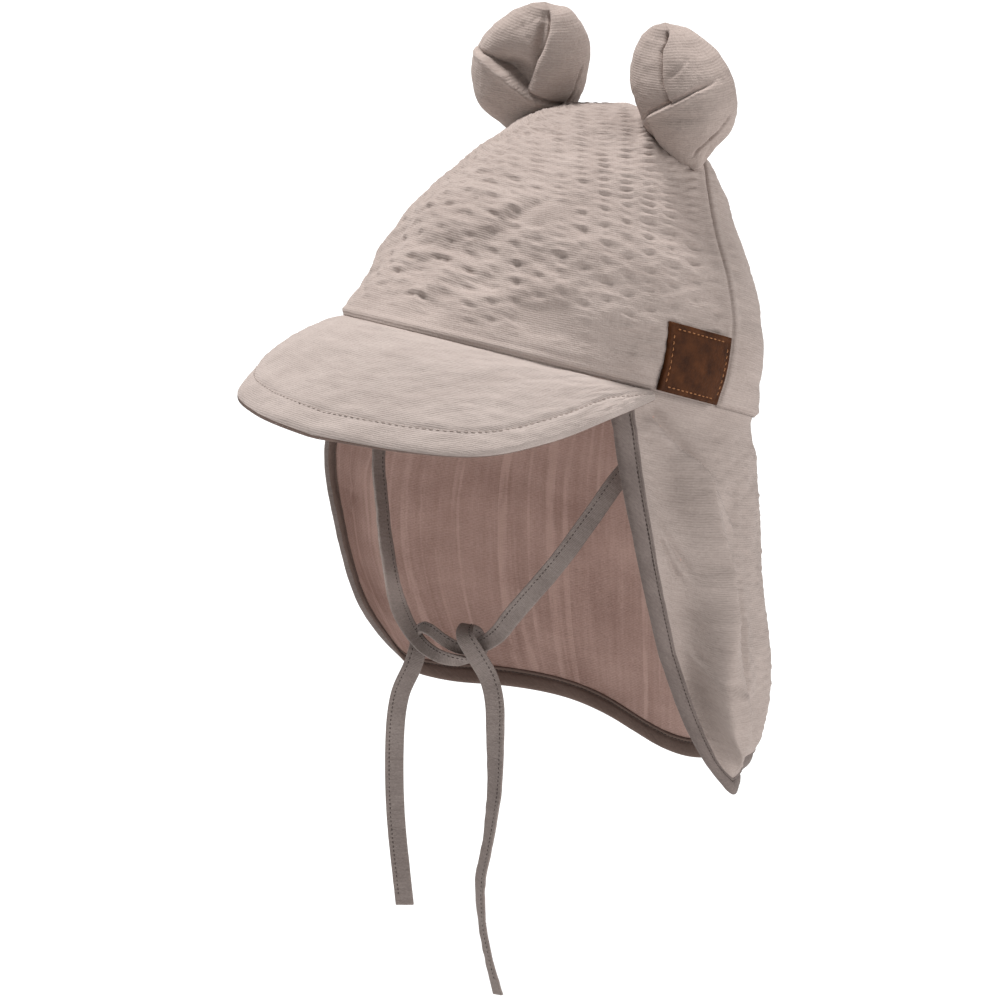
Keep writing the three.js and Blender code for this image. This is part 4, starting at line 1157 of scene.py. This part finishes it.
def ear(name, side, node, shape):
    rings, sides = 170, 260
    foot = crown_point(0.001 if side > 0 else 179.999, EAR_FOOT_UP)
    base = np.array([side * EAR_SPREAD, SEAM_BEHIND_ORIGIN + EAR_BEHIND_SEAM, foot[2] - EAR_SINK])
    lift = unit(np.array(EAR_AXIS) * (side, 1, 1))
    level = np.array([math.cos(EAR_TURN), -side * math.sin(EAR_TURN), 0])
    wide = unit(level - lift * np.dot(level, lift))
    front = np.cross(lift, wide)
    share = np.linspace(0, 1, rings)
    up = 0.6 * share + 0.4 * np.sin(np.pi / 2 * share)
    turn = np.linspace(0, 360, sides, endpoint=False)
    up, turn = np.meshgrid(up, turn, indexing="ij")
    place = row_place(EAR_ROWS, "up", up)
    across = 0.5 * column(EAR_ROWS, "width", place) * np.cos(np.radians(turn))
    depth = 0.5 * EAR_DEPTH * column(EAR_ROWS, "depth", place) * np.sin(np.radians(turn))
    leaning = (across + 0.5 * column(EAR_ROWS, "lean", place)) * EAR_WIDTH * side
    axis = base + lift * (up * EAR_HEIGHT)[..., None]
    form = axis + wide * leaning[..., None] - front * depth[..., None]
    round_step = (np.roll(form, -1, axis=1) - np.roll(form, 1, axis=1)) / 2
    normal = np.cross(np.gradient(form, axis=0), round_step)
    core = axis + wide * (side * 0.5 * column(EAR_ROWS, "lean", place) * EAR_WIDTH)[..., None]
    normal = unit(normal * np.sign(np.sum(normal * (form - core), axis=-1, keepdims=True)))
    normal[-2:] = lift
    rise = ear_relief(shape, turn, up, np.linalg.norm(form - core, axis=-1))
    rise = rise + 0.16 * soft_noise(across * 14, up * 20, 53) + 0.45 * soft_noise(across * 5, up * 6, 59)
    rise = rise + 0.10 * soft_noise(turn / 5, up * 34, 67)
    form = form + normal * (rise * smooth(0.0, 0.05, 1 - up) * smooth(0.02, 0.10, up))[..., None]
    form = out_of_crown(form)
    cloth = cloth_place(np.radians(np.abs(wrapped(turn, 270))) * 22, up * EAR_HEIGHT)
    piece = tube(name, upright(form), EAR_CLOTH, cloth)
    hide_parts(node)


ear("near_ear", 1, "ear_left", NEAR_EAR)
ear("far_ear", -1, "ear_right", FAR_EAR)


# Leather label
def label():
    count = 61
    across, above = np.meshgrid(np.linspace(0, 1, count), np.linspace(0, 1, count), indexing="ij")
    up = (LABEL_ABOVE_RIM + LABEL_HEIGHT * above) / CROWN_HEIGHT
    reach = crown_section(up)[1]
    angle = -np.degrees(np.arcsin((LABEL_FROM_SEAM + LABEL_WIDTH * (1 - across)) / reach))
    grid = crown_point(angle, up)
    normal = grid_normals(grid, np.array([1.0, 0.0, 0.0]))
    aside, height_up = across * LABEL_WIDTH, above * LABEL_HEIGHT
    edge = LABEL_WIDTH / 2 - np.abs(aside - LABEL_WIDTH / 2)
    edge = np.minimum(edge, LABEL_HEIGHT / 2 - np.abs(height_up - LABEL_HEIGHT / 2))
    height = CLEARANCE + 0.5 + LABEL_THICKNESS * smooth(-1.2, 0.8, edge)
    height = height - 0.30 * bell((edge - LABEL_STITCH_IN) / 0.5)
    height = height + 0.12 * soft_noise(aside / 5, height_up / 5, 71)
    outer = grid + normal * height[..., None]
    inner = grid + normal * CLEARANCE
    piece = wall("stitched_label", upright(outer), upright(inner)[::4, ::4], LEATHER, (aside, height_up))
    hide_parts("leather_label")
    low_i, low_j = (round(LABEL_STITCH_IN / size * (count - 1)) for size in (LABEL_WIDTH, LABEL_HEIGHT))
    high_i, high_j = count - 1 - low_i, count - 1 - low_j
    level, upward = slice(low_i, high_i + 1), slice(low_j, high_j + 1)
    runs = [(level, low_j), (level, high_j), (low_i, upward), (high_i, upward)]
    top, facing = upright(outer), upright(normal)
    lines = [(top[run], facing[run]) for run in runs]
    stitches("label_stitches", lines, LABEL_THREAD, pitch=2.3, length=1.6, radius=0.26)


label()


# Floor and light
def stage():
    floor = bpy.data.meshes.new("floor")
    low = cad_box[0][2] - 0.002
    floor.from_pydata([(x, y, low) for x, y in ((-6, -6), (6, -6), (6, 6), (-6, 6))], [], [(0, 1, 2, 3)])
    plain = bpy.data.materials.new("floor")
    plain.use_nodes = True
    surface = plain.node_tree.nodes["Principled BSDF"].inputs
    surface["Base Color"].default_value = (0.18, 0.18, 0.18, 1)
    surface["Roughness"].default_value = 1.0
    surface["Emission Color"].default_value = (1, 1, 1, 1)
    surface["Emission Strength"].default_value = 0.97
    floor.materials.append(plain)
    ground = linked("floor", floor)
    world = bpy.data.worlds.new("world")
    world.use_nodes = True
    world.node_tree.nodes["Background"].inputs["Color"].default_value = (1, 1, 1, 1)
    world.node_tree.nodes["Background"].inputs["Strength"].default_value = 0.18
    bpy.context.scene.world = world


def sun(name, heading, angle, strength):
    data = bpy.data.lights.new(name, "SUN")
    data.angle = math.radians(angle)
    data.energy = strength
    linked(name, data).rotation_euler = Vector(heading).to_track_quat("Z", "Y").to_euler()


stage()
sun("key", (-0.42, 0, 1), angle=20, strength=5)
sun("fill", (1, 0.3, 0.35), angle=40, strength=1.75)
bpy.context.scene.view_settings.view_transform = "Standard"
